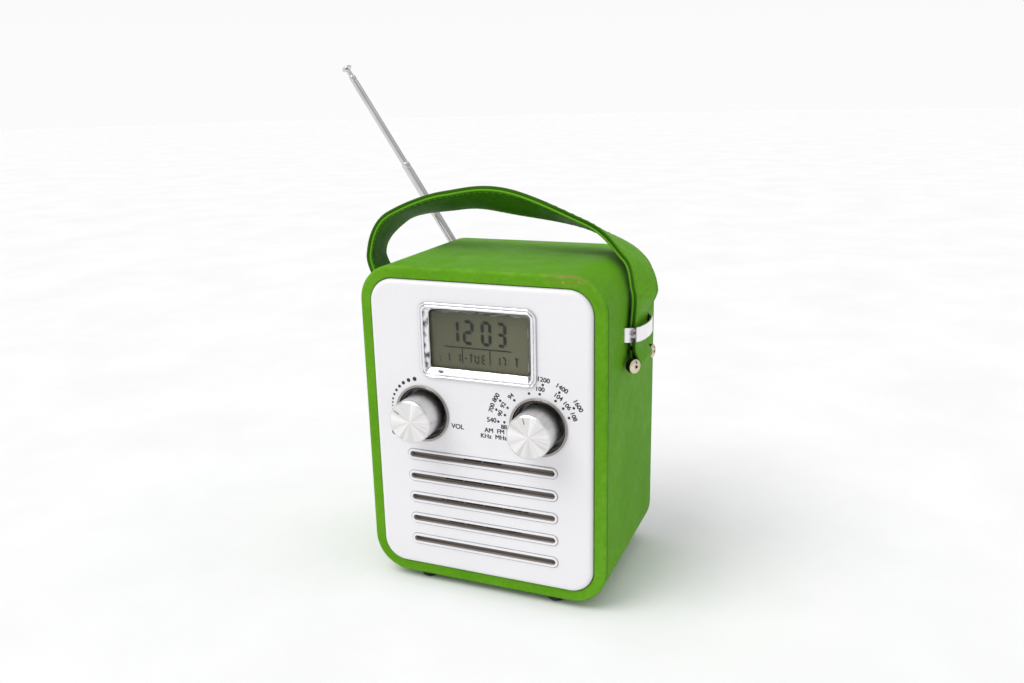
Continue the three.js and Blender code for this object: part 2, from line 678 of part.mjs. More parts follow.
// Position, width direction and outward normal of the strap at t from 0 to 1.
function archFrame(t) {
  const along = archCurve.getTangent(t);
  const across = new THREE.Vector3(0, 1, 0);
  across.addScaledVector(along, -across.dot(along)).normalize();
  const out = new THREE.Vector3().crossVectors(along, across);
  const angle = archTwist(t);
  const width = across.clone().multiplyScalar(Math.cos(angle)).addScaledVector(out, Math.sin(angle));
  const normal = new THREE.Vector3().crossVectors(along, width);
  return { at: archCurve.getPoint(t), width, normal };
}

// The four corners of one leather layer, from the inner to the outer offset along the normal.
function layerRing({ at, width, normal }, inner, outer) {
  const half = STRAP.width / 2;
  return [[-half, inner], [half, inner], [half, outer], [-half, outer]].map(
    ([w, n]) => at.clone().addScaledVector(width, w).addScaledVector(normal, n),
  );
}

const ARCH_STEPS = 34;

// The end of the outer layer: it swings out, goes round the pin and folds back up inside.
function loopFrames(side) {
  const middle = STRAP_X + STRAP.seam / 2 + STRAP.layer / 2;
  const frames = [];
  const add = (x, z, angle) => frames.push({
    at: new THREE.Vector3(side * x, 0, z),
    width: new THREE.Vector3(0, 1, 0),
    normal: new THREE.Vector3(side * Math.cos(angle), 0, Math.sin(angle)),
  });
  add(middle + 0.1, 124.8, radians(8));
  add(middle + 1.1, 121.8, radians(24));
  for (let step = 0; step <= 8; step++) {
    const angle = radians(30 - step * 26);
    add(PIN.x + LOOP_RADIUS * Math.cos(angle), PIN.z + LOOP_RADIUS * Math.sin(angle), angle);
  }
  add(HALF_BODY + 1.8, 120.6, radians(180));
  add(HALF_BODY + 1.9, 124.2, radians(180));
  return frames;
}

function strapOuter() {
  const inner = STRAP.seam / 2;
  const outer = inner + STRAP.layer;
  const half = STRAP.layer / 2;
  const left = loopFrames(-1).reverse().map((frame) => layerRing(frame, -half, half));
  const right = loopFrames(1).map((frame) => layerRing(frame, -half, half));
  const arch = [];
  for (let step = 0; step <= ARCH_STEPS; step++) {
    arch.push(layerRing(archFrame(step / ARCH_STEPS), inner, outer));
  }
  return sweep([...left, ...arch, ...right]);
}

function strapLining() {
  const outer = -STRAP.seam / 2;
  const rings = [];
  for (let step = 0; step <= ARCH_STEPS; step++) {
    rings.push(layerRing(archFrame(step / ARCH_STEPS), outer - STRAP.layer, outer));
  }
  return sweep(rings);
}

piece('handle_strap', strapOuter(), LOOKS.leatherette());
piece('handle_lining', strapLining(), LOOKS.leatherette());

// Keeper: a bowed band with two legs pressed into slots in the cabinet's side.
function keeperProfile() {
  const { halfWidth, leg, bulge, metal } = KEEPER;
  const foot = HALF_BODY - 3.6;
  const face = HALF_BODY + leg;
  const shape = new THREE.Shape();
  shape.moveTo(foot, -halfWidth);
  shape.lineTo(face - 1.5, -halfWidth);
  shape.quadraticCurveTo(face, -halfWidth, face + 0.8, -halfWidth + 3);
  shape.quadraticCurveTo(face + bulge + 1.6, 0, face + 0.8, halfWidth - 3);
  shape.quadraticCurveTo(face, halfWidth, face - 1.5, halfWidth);
  shape.lineTo(foot, halfWidth);
  shape.lineTo(foot, halfWidth - metal);
  shape.lineTo(face - 1.7, halfWidth - metal);
  shape.quadraticCurveTo(face - 0.7, halfWidth - metal, face - 0.2, halfWidth - 3.4);
  shape.quadraticCurveTo(face + bulge - 0.2, 0, face - 0.2, -halfWidth + 3.4);
  shape.quadraticCurveTo(face - 0.7, -halfWidth + metal, face - 1.7, -halfWidth + metal);
  shape.lineTo(foot, -halfWidth + metal);
  return shape;
}

function keeper(side) {
  const band = new THREE.ExtrudeGeometry(keeperProfile(), {
    depth: KEEPER.high - KEEPER.low,
    bevelEnabled: false,
    curveSegments: 4,
  });
  band.translate(0, 0, KEEPER.low);
  if (side < 0) {
    band.rotateZ(Math.PI);
  }
  return band;
}

// A pin through the strap's end loop, with a barrel-shaped knob beyond each edge of the strap.
function handlePin(side) {
  const { radius, knobRadius, knobNear, knobFar } = PIN;
  const knobHalf = [
    [radius, knobNear], [knobRadius - 0.6, knobNear], [knobRadius, knobNear + 0.8],
    [knobRadius, knobFar - 1], [knobRadius - 0.7, knobFar - 0.2], [0, knobFar],
  ];
  const mirrored = [...knobHalf].reverse().map(([r, y]) => [r, -y]);
  return turned([...mirrored, ...knobHalf], side * PIN.x, PIN.z, ROUND);
}

for (const [name, side] of [['left', -1], ['right', 1]]) {
  piece(`strap_keeper_${name}`, keeper(side), LOOKS.chrome());
  piece(`handle_pin_${name}`, handlePin(side), LOOKS.nickel());
}

// ---------------------------------------------------------------- telescopic aerial

// Everything in this group is drawn with the aerial upright: +Z runs along its tubes,
// +X is the tilt hinge's axis, and the origin is the hinge.
const aerial = new THREE.Group();
aerial.position.set(AERIAL.x, AERIAL.y, AERIAL.z);
aerial.rotation.y = -radians(AERIAL.lean);
radio.add(aerial);

const EYE = { radius: 3.2, half: 1.6, ear: 1.5, gap: 0.4 };

function alongX(profile, segments) {
  const geometry = upright(profile, segments);
  geometry.rotateY(Math.PI / 2);
  return geometry;
}

const pinHole = (radius) => alongX([[0, -9], [radius, -9], [radius, 9], [0, 9]], SMALL);

function aerialSwivel() {
  const discFace = -EYE.radius - EYE.gap;
  const disc = rodY(6, BACK - AERIAL.y + GAP, discFace, 0, 0, 20);
  const stem = rodY(3, BACK - AERIAL.y - 3.6, BACK - AERIAL.y + 1, 0, 0, SMALL);
  const ears = [-1, 1].map((side) => {
    const near = side * (EYE.half + GAP);
    const far = near + side * EYE.ear;
    const xRange = [Math.min(near, far), Math.max(near, far)];
    const tab = boxAt(xRange, [discFace - 0.5, 0], [-EYE.radius, EYE.radius]);
    const round = alongX([[0, xRange[0]], [EYE.radius, xRange[0]], [EYE.radius, xRange[1]], [0, xRange[1]]], ROUND);
    return geometryOf(manifoldOf(tab).add(manifoldOf(round)));
  });
  const bore = rodY(1.5, BACK - AERIAL.y - 5, BACK - AERIAL.y + 0.6, 0, 0, SMALL);
  return carve([disc, stem, ...ears], [pinHole(1.3), bore]);
}

function aerialScrew() {
  const seat = BACK - AERIAL.y - 3.6 - GAP;
  return turned([
    [0, seat - 1.6], [4.4, seat - 1.6], [4.4, seat], [1.2, seat], [1.2, BACK - AERIAL.y], [0, BACK - AERIAL.y],
  ], 0, 0, SMALL);
}

const SOCKET = { radius: 3, start: 5, end: 11, floor: 6.5 };

function aerialKnuckle() {
  const eye = alongX([[0, -EYE.half], [EYE.radius, -EYE.half], [EYE.radius, EYE.half], [0, EYE.half]], ROUND);
  const neck = boxAt([-EYE.half, EYE.half], [-1.8, 1.8], [0, SOCKET.start + 0.5]);
  const cup = upright([[0, SOCKET.start], [SOCKET.radius, SOCKET.start], [SOCKET.radius, SOCKET.end],
    [0, SOCKET.end]], SMALL);
  const bore = upright([[0, SOCKET.floor], [2.65, SOCKET.floor], [2.65, SOCKET.end + 1], [0, SOCKET.end + 1]], SMALL);
  return carve([eye, neck, cup], [pinHole(1.3), bore]);
}

function hingePin() {
  const head = EYE.half + GAP + EYE.ear + 0.2;
  return alongX([
    [0, -head - 0.8], [1.9, -head - 0.8], [1.9, -head], [1, -head], [1, head], [1.9, head],
    [1.9, head + 0.8], [0, head + 0.8],
  ], 16);
}

// One tube of the aerial with a rolled-in mouth at its outer end.
function aerialTube(radius, start, end, wall = 0.4) {
  return upright([
    [radius, start], [radius, end - 0.5], [radius - 0.2, end], [radius - wall, end], [radius - wall, start],
  ], SMALL);
}

const TUBE = { base: 2.5, mid: 2, rod: 1.4, overlap: 4 };

function aerialTip() {
  const foot = AERIAL.midEnd + 3.4;
  return upright([
    [0, foot], [1.5, foot], [1.5, foot + 0.8], [3, foot + 1.4], [3, foot + 2.2], [2, foot + 3], [0, foot + 3.2],
  ], ROUND);
}

piece('aerial_swivel', aerialSwivel(), LOOKS.chrome(), aerial);
piece('aerial_screw', aerialScrew(), LOOKS.steel(), aerial);
piece('aerial_knuckle', aerialKnuckle(), LOOKS.chrome(), aerial);
piece('aerial_hinge_pin', hingePin(), LOOKS.steel(), aerial);
piece('aerial_base_tube', aerialTube(TUBE.base, SOCKET.floor + GAP, AERIAL.baseEnd), LOOKS.chrome(), aerial);
piece(
  'aerial_mid_tube',
  aerialTube(TUBE.mid, AERIAL.baseEnd - TUBE.overlap, AERIAL.midEnd),
  LOOKS.chrome(),
  aerial,
);
piece(
  'aerial_inner_rod',
  upright([[0, 82], [TUBE.rod, 82], [TUBE.rod, AERIAL.midEnd + 3.1], [0, AERIAL.midEnd + 3.1]], SMALL),
  LOOKS.chrome(),
  aerial,
);
piece('aerial_tip', aerialTip(), LOOKS.chrome(), aerial);

// ---------------------------------------------------------------- standing place

radio.updateMatrixWorld(true);
const box = new THREE.Box3().setFromObject(radio, true);
radio.position.set(-(box.min.x + box.max.x) / 2, -(box.min.y + box.max.y) / 2, -box.min.z);

export default radio;
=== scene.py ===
"""Looks of a portable retro radio: pieces are drawn in millimetres about the cabinet's underside centre."""

import math

import bmesh
import bpy
from mathutils import Matrix, Vector, geometry, noise


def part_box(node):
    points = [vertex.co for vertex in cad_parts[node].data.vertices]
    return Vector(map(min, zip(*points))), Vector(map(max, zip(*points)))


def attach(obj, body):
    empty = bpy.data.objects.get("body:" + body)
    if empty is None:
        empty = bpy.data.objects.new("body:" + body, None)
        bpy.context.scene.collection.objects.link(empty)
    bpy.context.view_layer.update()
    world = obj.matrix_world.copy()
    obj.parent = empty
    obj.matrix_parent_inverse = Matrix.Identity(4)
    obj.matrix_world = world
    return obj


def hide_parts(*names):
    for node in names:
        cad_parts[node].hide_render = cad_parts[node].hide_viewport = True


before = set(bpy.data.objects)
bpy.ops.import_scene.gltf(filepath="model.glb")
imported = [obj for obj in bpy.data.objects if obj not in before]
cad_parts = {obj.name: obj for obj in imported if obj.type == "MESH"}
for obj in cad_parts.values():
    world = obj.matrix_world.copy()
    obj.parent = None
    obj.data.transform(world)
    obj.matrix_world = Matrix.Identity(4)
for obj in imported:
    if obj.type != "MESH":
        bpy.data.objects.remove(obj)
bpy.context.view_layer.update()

MM = 0.001
low_corner, high_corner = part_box("leatherette_wrap")
ORIGIN = Vector(((low_corner.x + high_corner.x) / 2, (low_corner.y + high_corner.y) / 2, low_corner.z))
BODY = {
    "half_width": (high_corner.x - low_corner.x) / 2 / MM,
    "height": (high_corner.z - low_corner.z) / MM,
    "half_depth": (high_corner.y - low_corner.y) / 2 / MM,
    "corner": 18.7,
}
RIM = 6.1
FRONT, BACK = -BODY["half_depth"], BODY["half_depth"]
PANEL_FACE = -47.5
PANEL_BACK = -45.5
PANEL_INSET = RIM + 0.4
PRINT = PANEL_FACE - 0.03
KNOB = {"x": 31.4, "z": 92.5, "radius": 11.1, "face": -62.1, "base": -42.3}
DISPLAY = {"half_width": 31.1, "half_height": 19.3, "corner": 5, "z": 131.7}
SLOT = {"half_length": 39.5, "half_height": 1.5, "rows": [69.6, 57.6, 45.6, 33.6, 21.6]}
SIDES = (("left", -1), ("right", 1))


# ---------------------------------------------------------------- mesh helpers


def in_cabinet(node):
    """A CAD node's lowest and highest corner, in millimetres in the cabinet's frame."""
    low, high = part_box(node)
    return (low - ORIGIN) / MM, (high - ORIGIN) / MM


class Shape:
    """Points in millimetres and the faces between them."""

    def __init__(self):
        self.points = []
        self.faces = []
        self.kinds = []

    def ring(self, points):
        start = len(self.points)
        self.points += [tuple(p) for p in points]
        return list(range(start, len(self.points)))

    def face(self, corners, kind=0):
        corners = list(dict.fromkeys(corners))
        if len(corners) > 2:
            self.faces.append(corners)
            self.kinds.append(kind)

    def bridge(self, first, second, closed, kind):
        count = len(first)
        for i in range(count if closed else count - 1):
            j = (i + 1) % count
            self.face([first[i], first[j], second[j], second[i]], kind)

    def loft(self, rings, closed=True, around=False, kind=0):
        """Bridges rings of points, and the last to the first when around is true."""
        made = [self.ring(points) for points in rings]
        pairs = list(zip(made, made[1:]))
        if around:
            pairs.append((made[-1], made[0]))
        for first, second in pairs:
            self.bridge(first, second, closed, kind)
        return made

    def tube(self, rings):
        """A loft whose first and last ring are closed by faces."""
        made = self.loft(rings)
        self.face(made[0])
        self.face(made[-1])

    def sheet(self, outer, holes, y):
        """A flat face at y between an outline and the holes in it."""
        loops = [outer] + list(holes)
        flat = [point for loop in loops for point in loop]
        base = self.ring([(x, y, z) for x, z in flat])
        triangles = geometry.tessellate_polygon([[Vector((x, z, 0)) for x, z in loop] for loop in loops])
        for triangle in triangles:
            self.face([base[i] for i in triangle])

    def add(self, points, faces, kind=0, move=None):
        if move is not None:
            points = [move @ Vector(p) for p in points]
        base = self.ring(points)
        for face in faces:
            self.face([base[i] for i in face], kind)


def piece(name, shape, looks, body, replaces=(), at=(0, 0, 0), sharp=35, weighted=True, marks=None):
    """An object of a shape that rides on a CAD body. Marks are named values for each point of the shape."""
    mesh = bpy.data.meshes.new(name)
    mesh.from_pydata([Vector(p) * MM for p in shape.points], [], shape.faces)
    for look in looks:
        mesh.materials.append(look)
    mesh.polygons.foreach_set("material_index", shape.kinds)
    for mark, values in (marks or {}).items():
        mesh.attributes.new(mark, "FLOAT", "POINT").data.foreach_set("value", values)
    cleaned = bmesh.new()
    cleaned.from_mesh(mesh)
    bmesh.ops.remove_doubles(cleaned, verts=cleaned.verts, dist=1e-7)
    bmesh.ops.recalc_face_normals(cleaned, faces=cleaned.faces)
    cleaned.to_mesh(mesh)
    cleaned.free()
    mesh.shade_smooth()
    mesh.set_sharp_from_angle(angle=math.radians(sharp))
    obj = bpy.data.objects.new(name, mesh)
    bpy.context.scene.collection.objects.link(obj)
    obj.location = ORIGIN + Vector(at) * MM
    if weighted:
        modifier = obj.modifiers.new("even_normals", "WEIGHTED_NORMAL")
        modifier.keep_sharp = True
    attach(obj, body)
    if replaces:
        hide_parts(*([replaces] if isinstance(replaces, str) else replaces))
    return obj


def fillet(corners, radius, steps=3, closed=False):
    """A line of corners with each one rounded."""
    result = []
    last = len(corners) - 1
    for i, corner in enumerate(corners):
        if not closed and i in (0, last):
            result.append(tuple(corner))
            continue
        here = Vector(corner)
        before = Vector(corners[i - 1]) - here
        after = Vector(corners[(i + 1) % len(corners)]) - here
        reach = min(radius, before.length * 0.45, after.length * 0.45)
        start = here + before.normalized() * reach
        end = here + after.normalized() * reach
        for step in range(steps + 1):
            t = step / steps
            result.append(tuple((1 - t) ** 2 * start + 2 * t * (1 - t) * here + t * t * end))
    return result


def rounded_rect(half_width, low, high, radius, corner_steps, side_steps=1):
    """(x, z) points round a rounded rectangle; their number doesn't depend on its size."""
    centres = [
        (half_width - radius, low + radius, -90),
        (half_width - radius, high - radius, 0),
        (-half_width + radius, high - radius, 90),
        (-half_width + radius, low + radius, 180),
    ]
    arcs = []
    for cx, cz, start in centres:
        turns = [math.radians(start + 90 * step / corner_steps) for step in range(corner_steps + 1)]
        arcs.append([(cx + radius * math.cos(a), cz + radius * math.sin(a)) for a in turns])
    points = []
    for i, arc in enumerate(arcs):
        points += arc
        (x0, z0), (x1, z1) = arc[-1], arcs[(i + 1) % 4][0]
        for step in range(1, side_steps):
            t = step / side_steps
            points.append((x0 + (x1 - x0) * t, z0 + (z1 - z0) * t))
    return points


def cabinet_outline(inset, corner_steps=12, side_steps=4):
    """The cabinet's outline seen from the front, moved inwards by inset."""
    return rounded_rect(
        BODY["half_width"] - inset, inset, BODY["height"] - inset, BODY["corner"] - inset, corner_steps, side_steps
    )


def display_outline(inset, corner_steps=6, side_steps=1):
    return rounded_rect(
        DISPLAY["half_width"] - inset,
        DISPLAY["z"] - DISPLAY["half_height"] + inset,
        DISPLAY["z"] + DISPLAY["half_height"] - inset,
        DISPLAY["corner"] - inset,
        corner_steps,
        side_steps,
    )


def stadium(z, grow):
    """A speaker slot's outline, moved outwards by grow."""
    half = SLOT["half_height"] + grow
    return rounded_rect(SLOT["half_length"] + grow, z - half, z + half, half - 0.001, 8)


def full_turn(steps):
    return [2 * math.pi * i / steps for i in range(steps)]


def circle(cx, cz, radius, steps=64):
    return [(cx + radius * math.cos(a), cz + radius * math.sin(a)) for a in full_turn(steps)]


def raised(outline, y):
    return [(x, y, z) for x, z in outline]


def lathe(profile, segments, around, axis):
    """A profile of (radius, place along the axis) turned about that axis."""
    points, rows, faces = [], [], []
    for radius, along in profile:
        if radius == 0:
            rows.append([len(points)] * segments)
            points.append((0, along, 0) if axis == "Y" else (0, 0, along))
            continue
        rows.append([len(points) + i for i in range(segments)])
        for a in full_turn(segments):
            x, other = radius * math.cos(a), radius * math.sin(a)
            points.append((x, along, other) if axis == "Y" else (x, other, along))
    pairs = list(zip(rows, rows[1:]))
    if around:
        pairs.append((rows[-1], rows[0]))
    for first, second in pairs:
        for i in range(segments):
            j = (i + 1) % segments
            faces.append([first[i], first[j], second[j], second[i]])
    return points, faces


def turned(profile, segments, around=False, axis="Y", move=None, kind=0, shape=None):
    """A lathed profile, moved and then added to a shape or made into a new one."""
    shape = shape or Shape()
    points, faces = lathe(profile, segments, around, axis)
    shape.add(points, faces, kind, move)
    return shape


def box_points(x, y, z):
    points = [(a, b, c) for a in x for b in y for c in z]
    faces = [[0, 1, 3, 2], [4, 6, 7, 5], [0, 4, 5, 1], [2, 3, 7, 6], [0, 2, 6, 4], [1, 5, 7, 3]]
    return points, faces


def soft_block(x, y, z, radius):
    """A block whose edges along Y and near faces are rounded: a lofted rounded rectangle."""
    shape = Shape()
    cx, cz = sum(x) / 2, sum(z) / 2
    half_x, half_z = (x[1] - x[0]) / 2, (z[1] - z[0]) / 2

    def ring(inset, at_y):
        outline = rounded_rect(half_x - inset, -half_z + inset, half_z - inset, max(radius - inset, 0.02), 4)
        return [(px + cx, at_y, pz + cz) for px, pz in outline]

    near, far = y
    edge = radius * (1 if far > near else -1)
    rings = [(radius * 0.9, near), (radius * 0.3, near + edge * 0.25), (0, near + edge), (0, far)]
    shape.tube([ring(inset, at_y) for inset, at_y in rings])
    return shape


# ---------------------------------------------------------------- material helpers


class Surface:
    """A node material with short ways to add texture to it. Its textures are placed in metres on the object."""

    def __init__(self, name, color, roughness, metallic=0.0, **sockets):
        self.material = bpy.data.materials.new(name)
        self.material.use_nodes = True
        self.tree = self.material.node_tree
        self.shader = self.tree.nodes["Principled BSDF"]
        self.put(self.shader, "Base Color", (*color, 1))
        self.put(self.shader, "Roughness", roughness)
        self.put(self.shader, "Metallic", metallic)
        for socket, value in sockets.items():
            self.put(self.shader, socket.replace("_", " "), value)
        self.place = self.tree.nodes.new("ShaderNodeTexCoord").outputs["Object"]
        self.relief = None

    def put(self, node, key, value):
        if isinstance(value, bpy.types.NodeSocket):
            self.tree.links.new(value, node.inputs[key])
        else:
            node.inputs[key].default_value = value

    def node(self, kind, inputs=(), **settings):
        node = self.tree.nodes.new(kind)
        for key, value in settings.items():
            setattr(node, key, value)
        for key, value in dict(inputs).items():
            self.put(node, key, value)
        return node

    def stretched(self, x, y, z, turn=(0, 0, 0)):
        mapping = self.node("ShaderNodeMapping", {"Vector": self.place, "Scale": (x, y, z), "Rotation": turn})
        return mapping.outputs[0]

    def noise(self, scale, detail=3.0, rough=0.5, vector=None):
        inputs = {"Vector": vector or self.place, "Scale": scale, "Detail": detail, "Roughness": rough}
        return self.node("ShaderNodeTexNoise", inputs).outputs[0]

    def cells(self, scale, feature="F1"):
        inputs = {"Vector": self.place, "Scale": scale, "Randomness": 1.0}
        return self.node("ShaderNodeTexVoronoi", inputs, feature=feature).outputs[0]

    def fit(self, value, low, high, to_low=0.0, to_high=1.0):
        inputs = {"Value": value, "From Min": low, "From Max": high, "To Min": to_low, "To Max": to_high}
        return self.node("ShaderNodeMapRange", inputs).outputs[0]

    def math(self, operation, first, second):
        return self.node("ShaderNodeMath", {0: first, 1: second}, operation=operation).outputs[0]

    def mark(self, name):
        return self.node("ShaderNodeAttribute", attribute_name=name).outputs["Fac"]

    def axis(self, letter):
        return self.node("ShaderNodeSeparateXYZ", {0: self.place}).outputs[letter]

    def blend(self, factor, first, second):
        node = self.node("ShaderNodeMix", data_type="RGBA")
        self.put(node, 0, factor)
        self.put(node, 6, (*first, 1) if isinstance(first, tuple) else first)
        self.put(node, 7, (*second, 1) if isinstance(second, tuple) else second)
        return node.outputs[2]

    def color(self, value):
        self.put(self.shader, "Base Color", value)

    def tint(self, value, dark, light, low=0.3, high=0.7):
        """Colours the surface between dark and light as value goes from low to high."""
        self.color(self.blend(self.fit(value, low, high), dark, light))

    def roughness(self, value, low, high, smooth, rough):
        self.put(self.shader, "Roughness", self.fit(value, low, high, smooth, rough))

    def bump(self, height, distance, strength=1.0):
        inputs = {"Height": height, "Distance": distance * MM, "Strength": strength}
        if self.relief is not None:
            inputs["Normal"] = self.relief
        self.relief = self.node("ShaderNodeBump", inputs).outputs[0]
        self.put(self.shader, "Normal", self.relief)


def leatherette():
    """Embossed green leatherette with fine grain, rubbed edges, scuffs, a darker butt seam line and painted shade
    along the right front crease.
    """
    s = Surface("leatherette_green", (0.12, 0.33, 0.02), 0.5, Specular_IOR_Level=0.025)
    tone = s.noise(24, 4, 0.6)
    base = s.blend(s.fit(tone, 0.3, 0.7), (0.098, 0.292, 0.010), (0.132, 0.362, 0.018))
    fine = s.noise(420, 3, 0.6)
    base = s.blend(s.fit(fine, 0.35, 0.75, 0.0, 0.35), base, (0.065, 0.20, 0.008))
    rubbed = s.math("MULTIPLY", s.mark("edge"), s.fit(s.noise(160, 4, 0.65), 0.42, 0.66))
    base = s.blend(s.math("MULTIPLY", rubbed, 0.22), base, (0.24, 0.46, 0.08))
    streaks = s.fit(s.noise(1, 5, 0.7, s.stretched(110, 520, 620)), 0.44, 0.56)
    scuffed = s.math("MULTIPLY", s.mark("scuff"), streaks)
    base = s.blend(s.math("MULTIPLY", scuffed, 0.85), base, (0.27, 0.19, 0.07))
    spots = s.fit(s.cells(330), 0.34, 0.18)
    spotted = s.math("MULTIPLY", s.mark("scuff"), s.math("MULTIPLY", spots, s.fit(s.noise(260), 0.52, 0.6)))
    base = s.blend(spotted, base, (0.55, 0.45, 0.13))
    grime_and_groove_shade = s.math("MULTIPLY", s.mark("dust"), s.fit(s.noise(60, 4), 0.35, 0.65))
    base = s.blend(s.math("MULTIPLY", grime_and_groove_shade, 0.45), base, (0.22, 0.27, 0.12))
    # painted shade: the crease mark darkens the right front crease as shade, and also the joint line of the butt seam
    base = s.blend(s.mark("crease_shade_and_seam"), base, (0.02, 0.07, 0.004))
    s.color(base)
    s.roughness(s.noise(90, 4), 0.3, 0.7, 0.42, 0.56)
    s.bump(s.noise(35, 2), 0.35, 0.5)
    s.bump(s.cells(950, "SMOOTH_F1"), 0.12, 0.7)
    s.bump(s.mark("crease_shade_and_seam"), -0.3, 1.0)
    return s.material


def strap_leather(name, dark, light, edge):
    """Strap leatherette: finer grain, a pressed line near each edge, and an edge colour on its edges and pressed
    lines.
    """
    s = Surface(name, light, 0.45, Specular_IOR_Level=0.025)
    tone = s.blend(s.fit(s.noise(40, 4, 0.6), 0.3, 0.7), dark, light)
    tone = s.blend(s.fit(s.noise(500, 3, 0.6), 0.45, 0.8, 0.0, 0.35), tone, edge)
    # the edge colour on edges and pressed lines: painted shade on the outer strap, a painted highlight on the lining
    tone = s.blend(s.mark("edge"), tone, edge)
    s.color(tone)
    s.roughness(s.noise(110, 4), 0.3, 0.7, 0.36, 0.52)
    s.bump(s.noise(60, 2), 0.25, 0.5)
    s.bump(s.cells(1100, "SMOOTH_F1"), 0.1, 0.6)
    return s.material


def thread(name, color):
    s = Surface(name, color, 0.7)
    twist = s.noise(1, 2, 0.5, s.stretched(2600, 2600, 5200))
    s.tint(twist, tuple(c * 0.65 for c in color), color, 0.35, 0.65)
    s.bump(twist, 0.08)
    return s.material


def gloss_plastic(name, color, roughness=0.22, coat=0.3):
    """Moulded plastic: slight tone drift, fine handling marks, orange-peel gloss, and painted shade in the groove
    round the slot lips.
    """
    s = Surface(name, color, roughness, Coat_Weight=coat, Coat_Roughness=0.12)
    drift = s.fit(s.noise(16, 3), 0.3, 0.7)
    tone = s.blend(drift, tuple(c * 0.965 for c in color), color)
    # painted shade: the mark darkens the groove at the foot of each slot lip on the front panel
    grime_and_groove_shade = s.math("MULTIPLY", s.mark("grime_and_groove_shade"), s.fit(s.noise(220, 3), 0.25, 0.6, 0.55, 0.9))
    s.color(s.blend(grime_and_groove_shade, tone, tuple(c * 0.12 for c in color)))
    marks = s.noise(1, 4, 0.7, s.stretched(600, 900, 45, (0.3, 0.2, 0.5)))
    s.roughness(marks, 0.35, 0.75, roughness * 0.85, roughness * 1.35)
    s.bump(s.noise(130, 2), 0.05, 0.5)
    return s.material


def textured_plastic(name, color, roughness):
    """Spark-textured moulded plastic with faint mould flow in its colour."""
    s = Surface(name, color, roughness)
    flow = s.noise(1, 4, 0.6, s.stretched(30, 30, 12))
    s.tint(flow, tuple(c * 0.86 for c in color), color)
    s.roughness(s.noise(200, 3), 0.3, 0.7, roughness * 0.85, roughness * 1.15)
    s.bump(s.cells(1500), 0.06, 0.6)
    return s.material


def plated(name, color, roughness, tarnish, amount, ripple=0.02):
    """Plated metal: cloudy patches, fine pits, hairline scratches, and painted dark reflections where the mark is
    set.
    """
    s = Surface(name, color, roughness, 1.0)
    clouds = s.fit(s.noise(70, 4, 0.6), 0.42, 0.75, 0.0, amount)
    pits = s.fit(s.cells(700), 0.16, 0.05, 0.0, amount)
    tone = s.blend(s.math("MAXIMUM", clouds, pits), color, tarnish)
    # painted reflection: the mark paints dark streaks that stand in for dark surroundings reflected in the metal
    shade = s.math("MULTIPLY", s.mark("painted_dark_reflection"), s.fit(s.noise(420, 3), 0.3, 0.5, 0.4, 1.0))
    s.color(s.blend(shade, tone, (0.045, 0.03, 0.045)))
    scratches = s.noise(1, 3, 0.7, s.stretched(300, 4000, 500, (0.4, 0.1, 0.7)))
    s.roughness(scratches, 0.4, 0.75, roughness, roughness * 1.9 + 0.03)
    s.bump(s.noise(90, 2), ripple, 0.5)
    return s.material


def spun_face():
    """Spun aluminium end face: concentric turning marks with stretched highlights, and light and dark wedges painted
    into its colour as highlights.
    """
    s = Surface("spun_aluminium_face", (0.86, 0.86, 0.85), 0.24, 1.0, Anisotropic=0.85)
    flat = s.node("ShaderNodeVectorMath", {0: s.place, 1: (1, 0, 1)}, operation="MULTIPLY").outputs[0]
    radius = s.node("ShaderNodeVectorMath", {0: flat}, operation="LENGTH").outputs["Value"]
    rings = s.node("ShaderNodeCombineXYZ", {0: radius}).outputs[0]
    lines = s.noise(5200, 2, 0.6, rings)
    heading = s.node("ShaderNodeVectorMath", {0: flat}, operation="NORMALIZE").outputs[0]
    # painted highlight: brighter and darker wedges round the axis, fixed to the knob
    painted_highlight_sectors = s.fit(s.noise(2.6, 2, 0.6, heading), 0.36, 0.64)
    ground = s.blend(painted_highlight_sectors, (0.70, 0.69, 0.68), (0.97, 0.96, 0.95))
    s.color(s.blend(s.fit(lines, 0.3, 0.7, 0.0, 0.22), ground, (0.62, 0.61, 0.60)))
    s.roughness(lines, 0.3, 0.7, 0.2, 0.3)
    s.bump(lines, 0.012, 0.35)
    tangent = s.node("ShaderNodeTangent", direction_type="RADIAL", axis="Y").outputs[0]
    s.put(s.shader, "Tangent", tangent)
    return s.material


def spun_side():
    """Turned aluminium side wall: fine lines round the axis."""
    s = Surface("spun_aluminium_side", (0.80, 0.80, 0.80), 0.3, 1.0)
    depth = s.node("ShaderNodeCombineXYZ", {0: s.axis("Y")}).outputs[0]
    lines = s.noise(4200, 2, 0.6, depth)
    s.tint(lines, (0.66, 0.66, 0.66), (0.86, 0.86, 0.86))
    s.roughness(lines, 0.3, 0.7, 0.24, 0.38)
    s.bump(lines, 0.012, 0.35)
    return s.material


def display_ground():
    """Reflective display glass: olive grey, with painted shade making it darker towards its upper left, and faint
    cloudiness.
    """
    s = Surface("display_ground", (0.085, 0.08, 0.05), 0.35)
    low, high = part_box("lcd_display")
    across = s.fit(s.axis("X"), low.x, high.x)
    up = s.fit(s.axis("Z"), low.z, high.z)
    # painted shade: lighter to the right and darker towards the top, as the shadow along the window's top and left
    painted_shade_slope = s.math("SUBTRACT", s.math("MULTIPLY", across, 0.55), s.math("MULTIPLY", up, 0.35))
    cloud = s.math("ADD", painted_shade_slope, s.fit(s.noise(60, 3), 0.3, 0.7, -0.06, 0.06))
    s.tint(cloud, (0.098, 0.088, 0.053), (0.162, 0.147, 0.094), -0.3, 0.5)
    s.roughness(s.noise(900, 2), 0.3, 0.7, 0.3, 0.42)
    return s.material


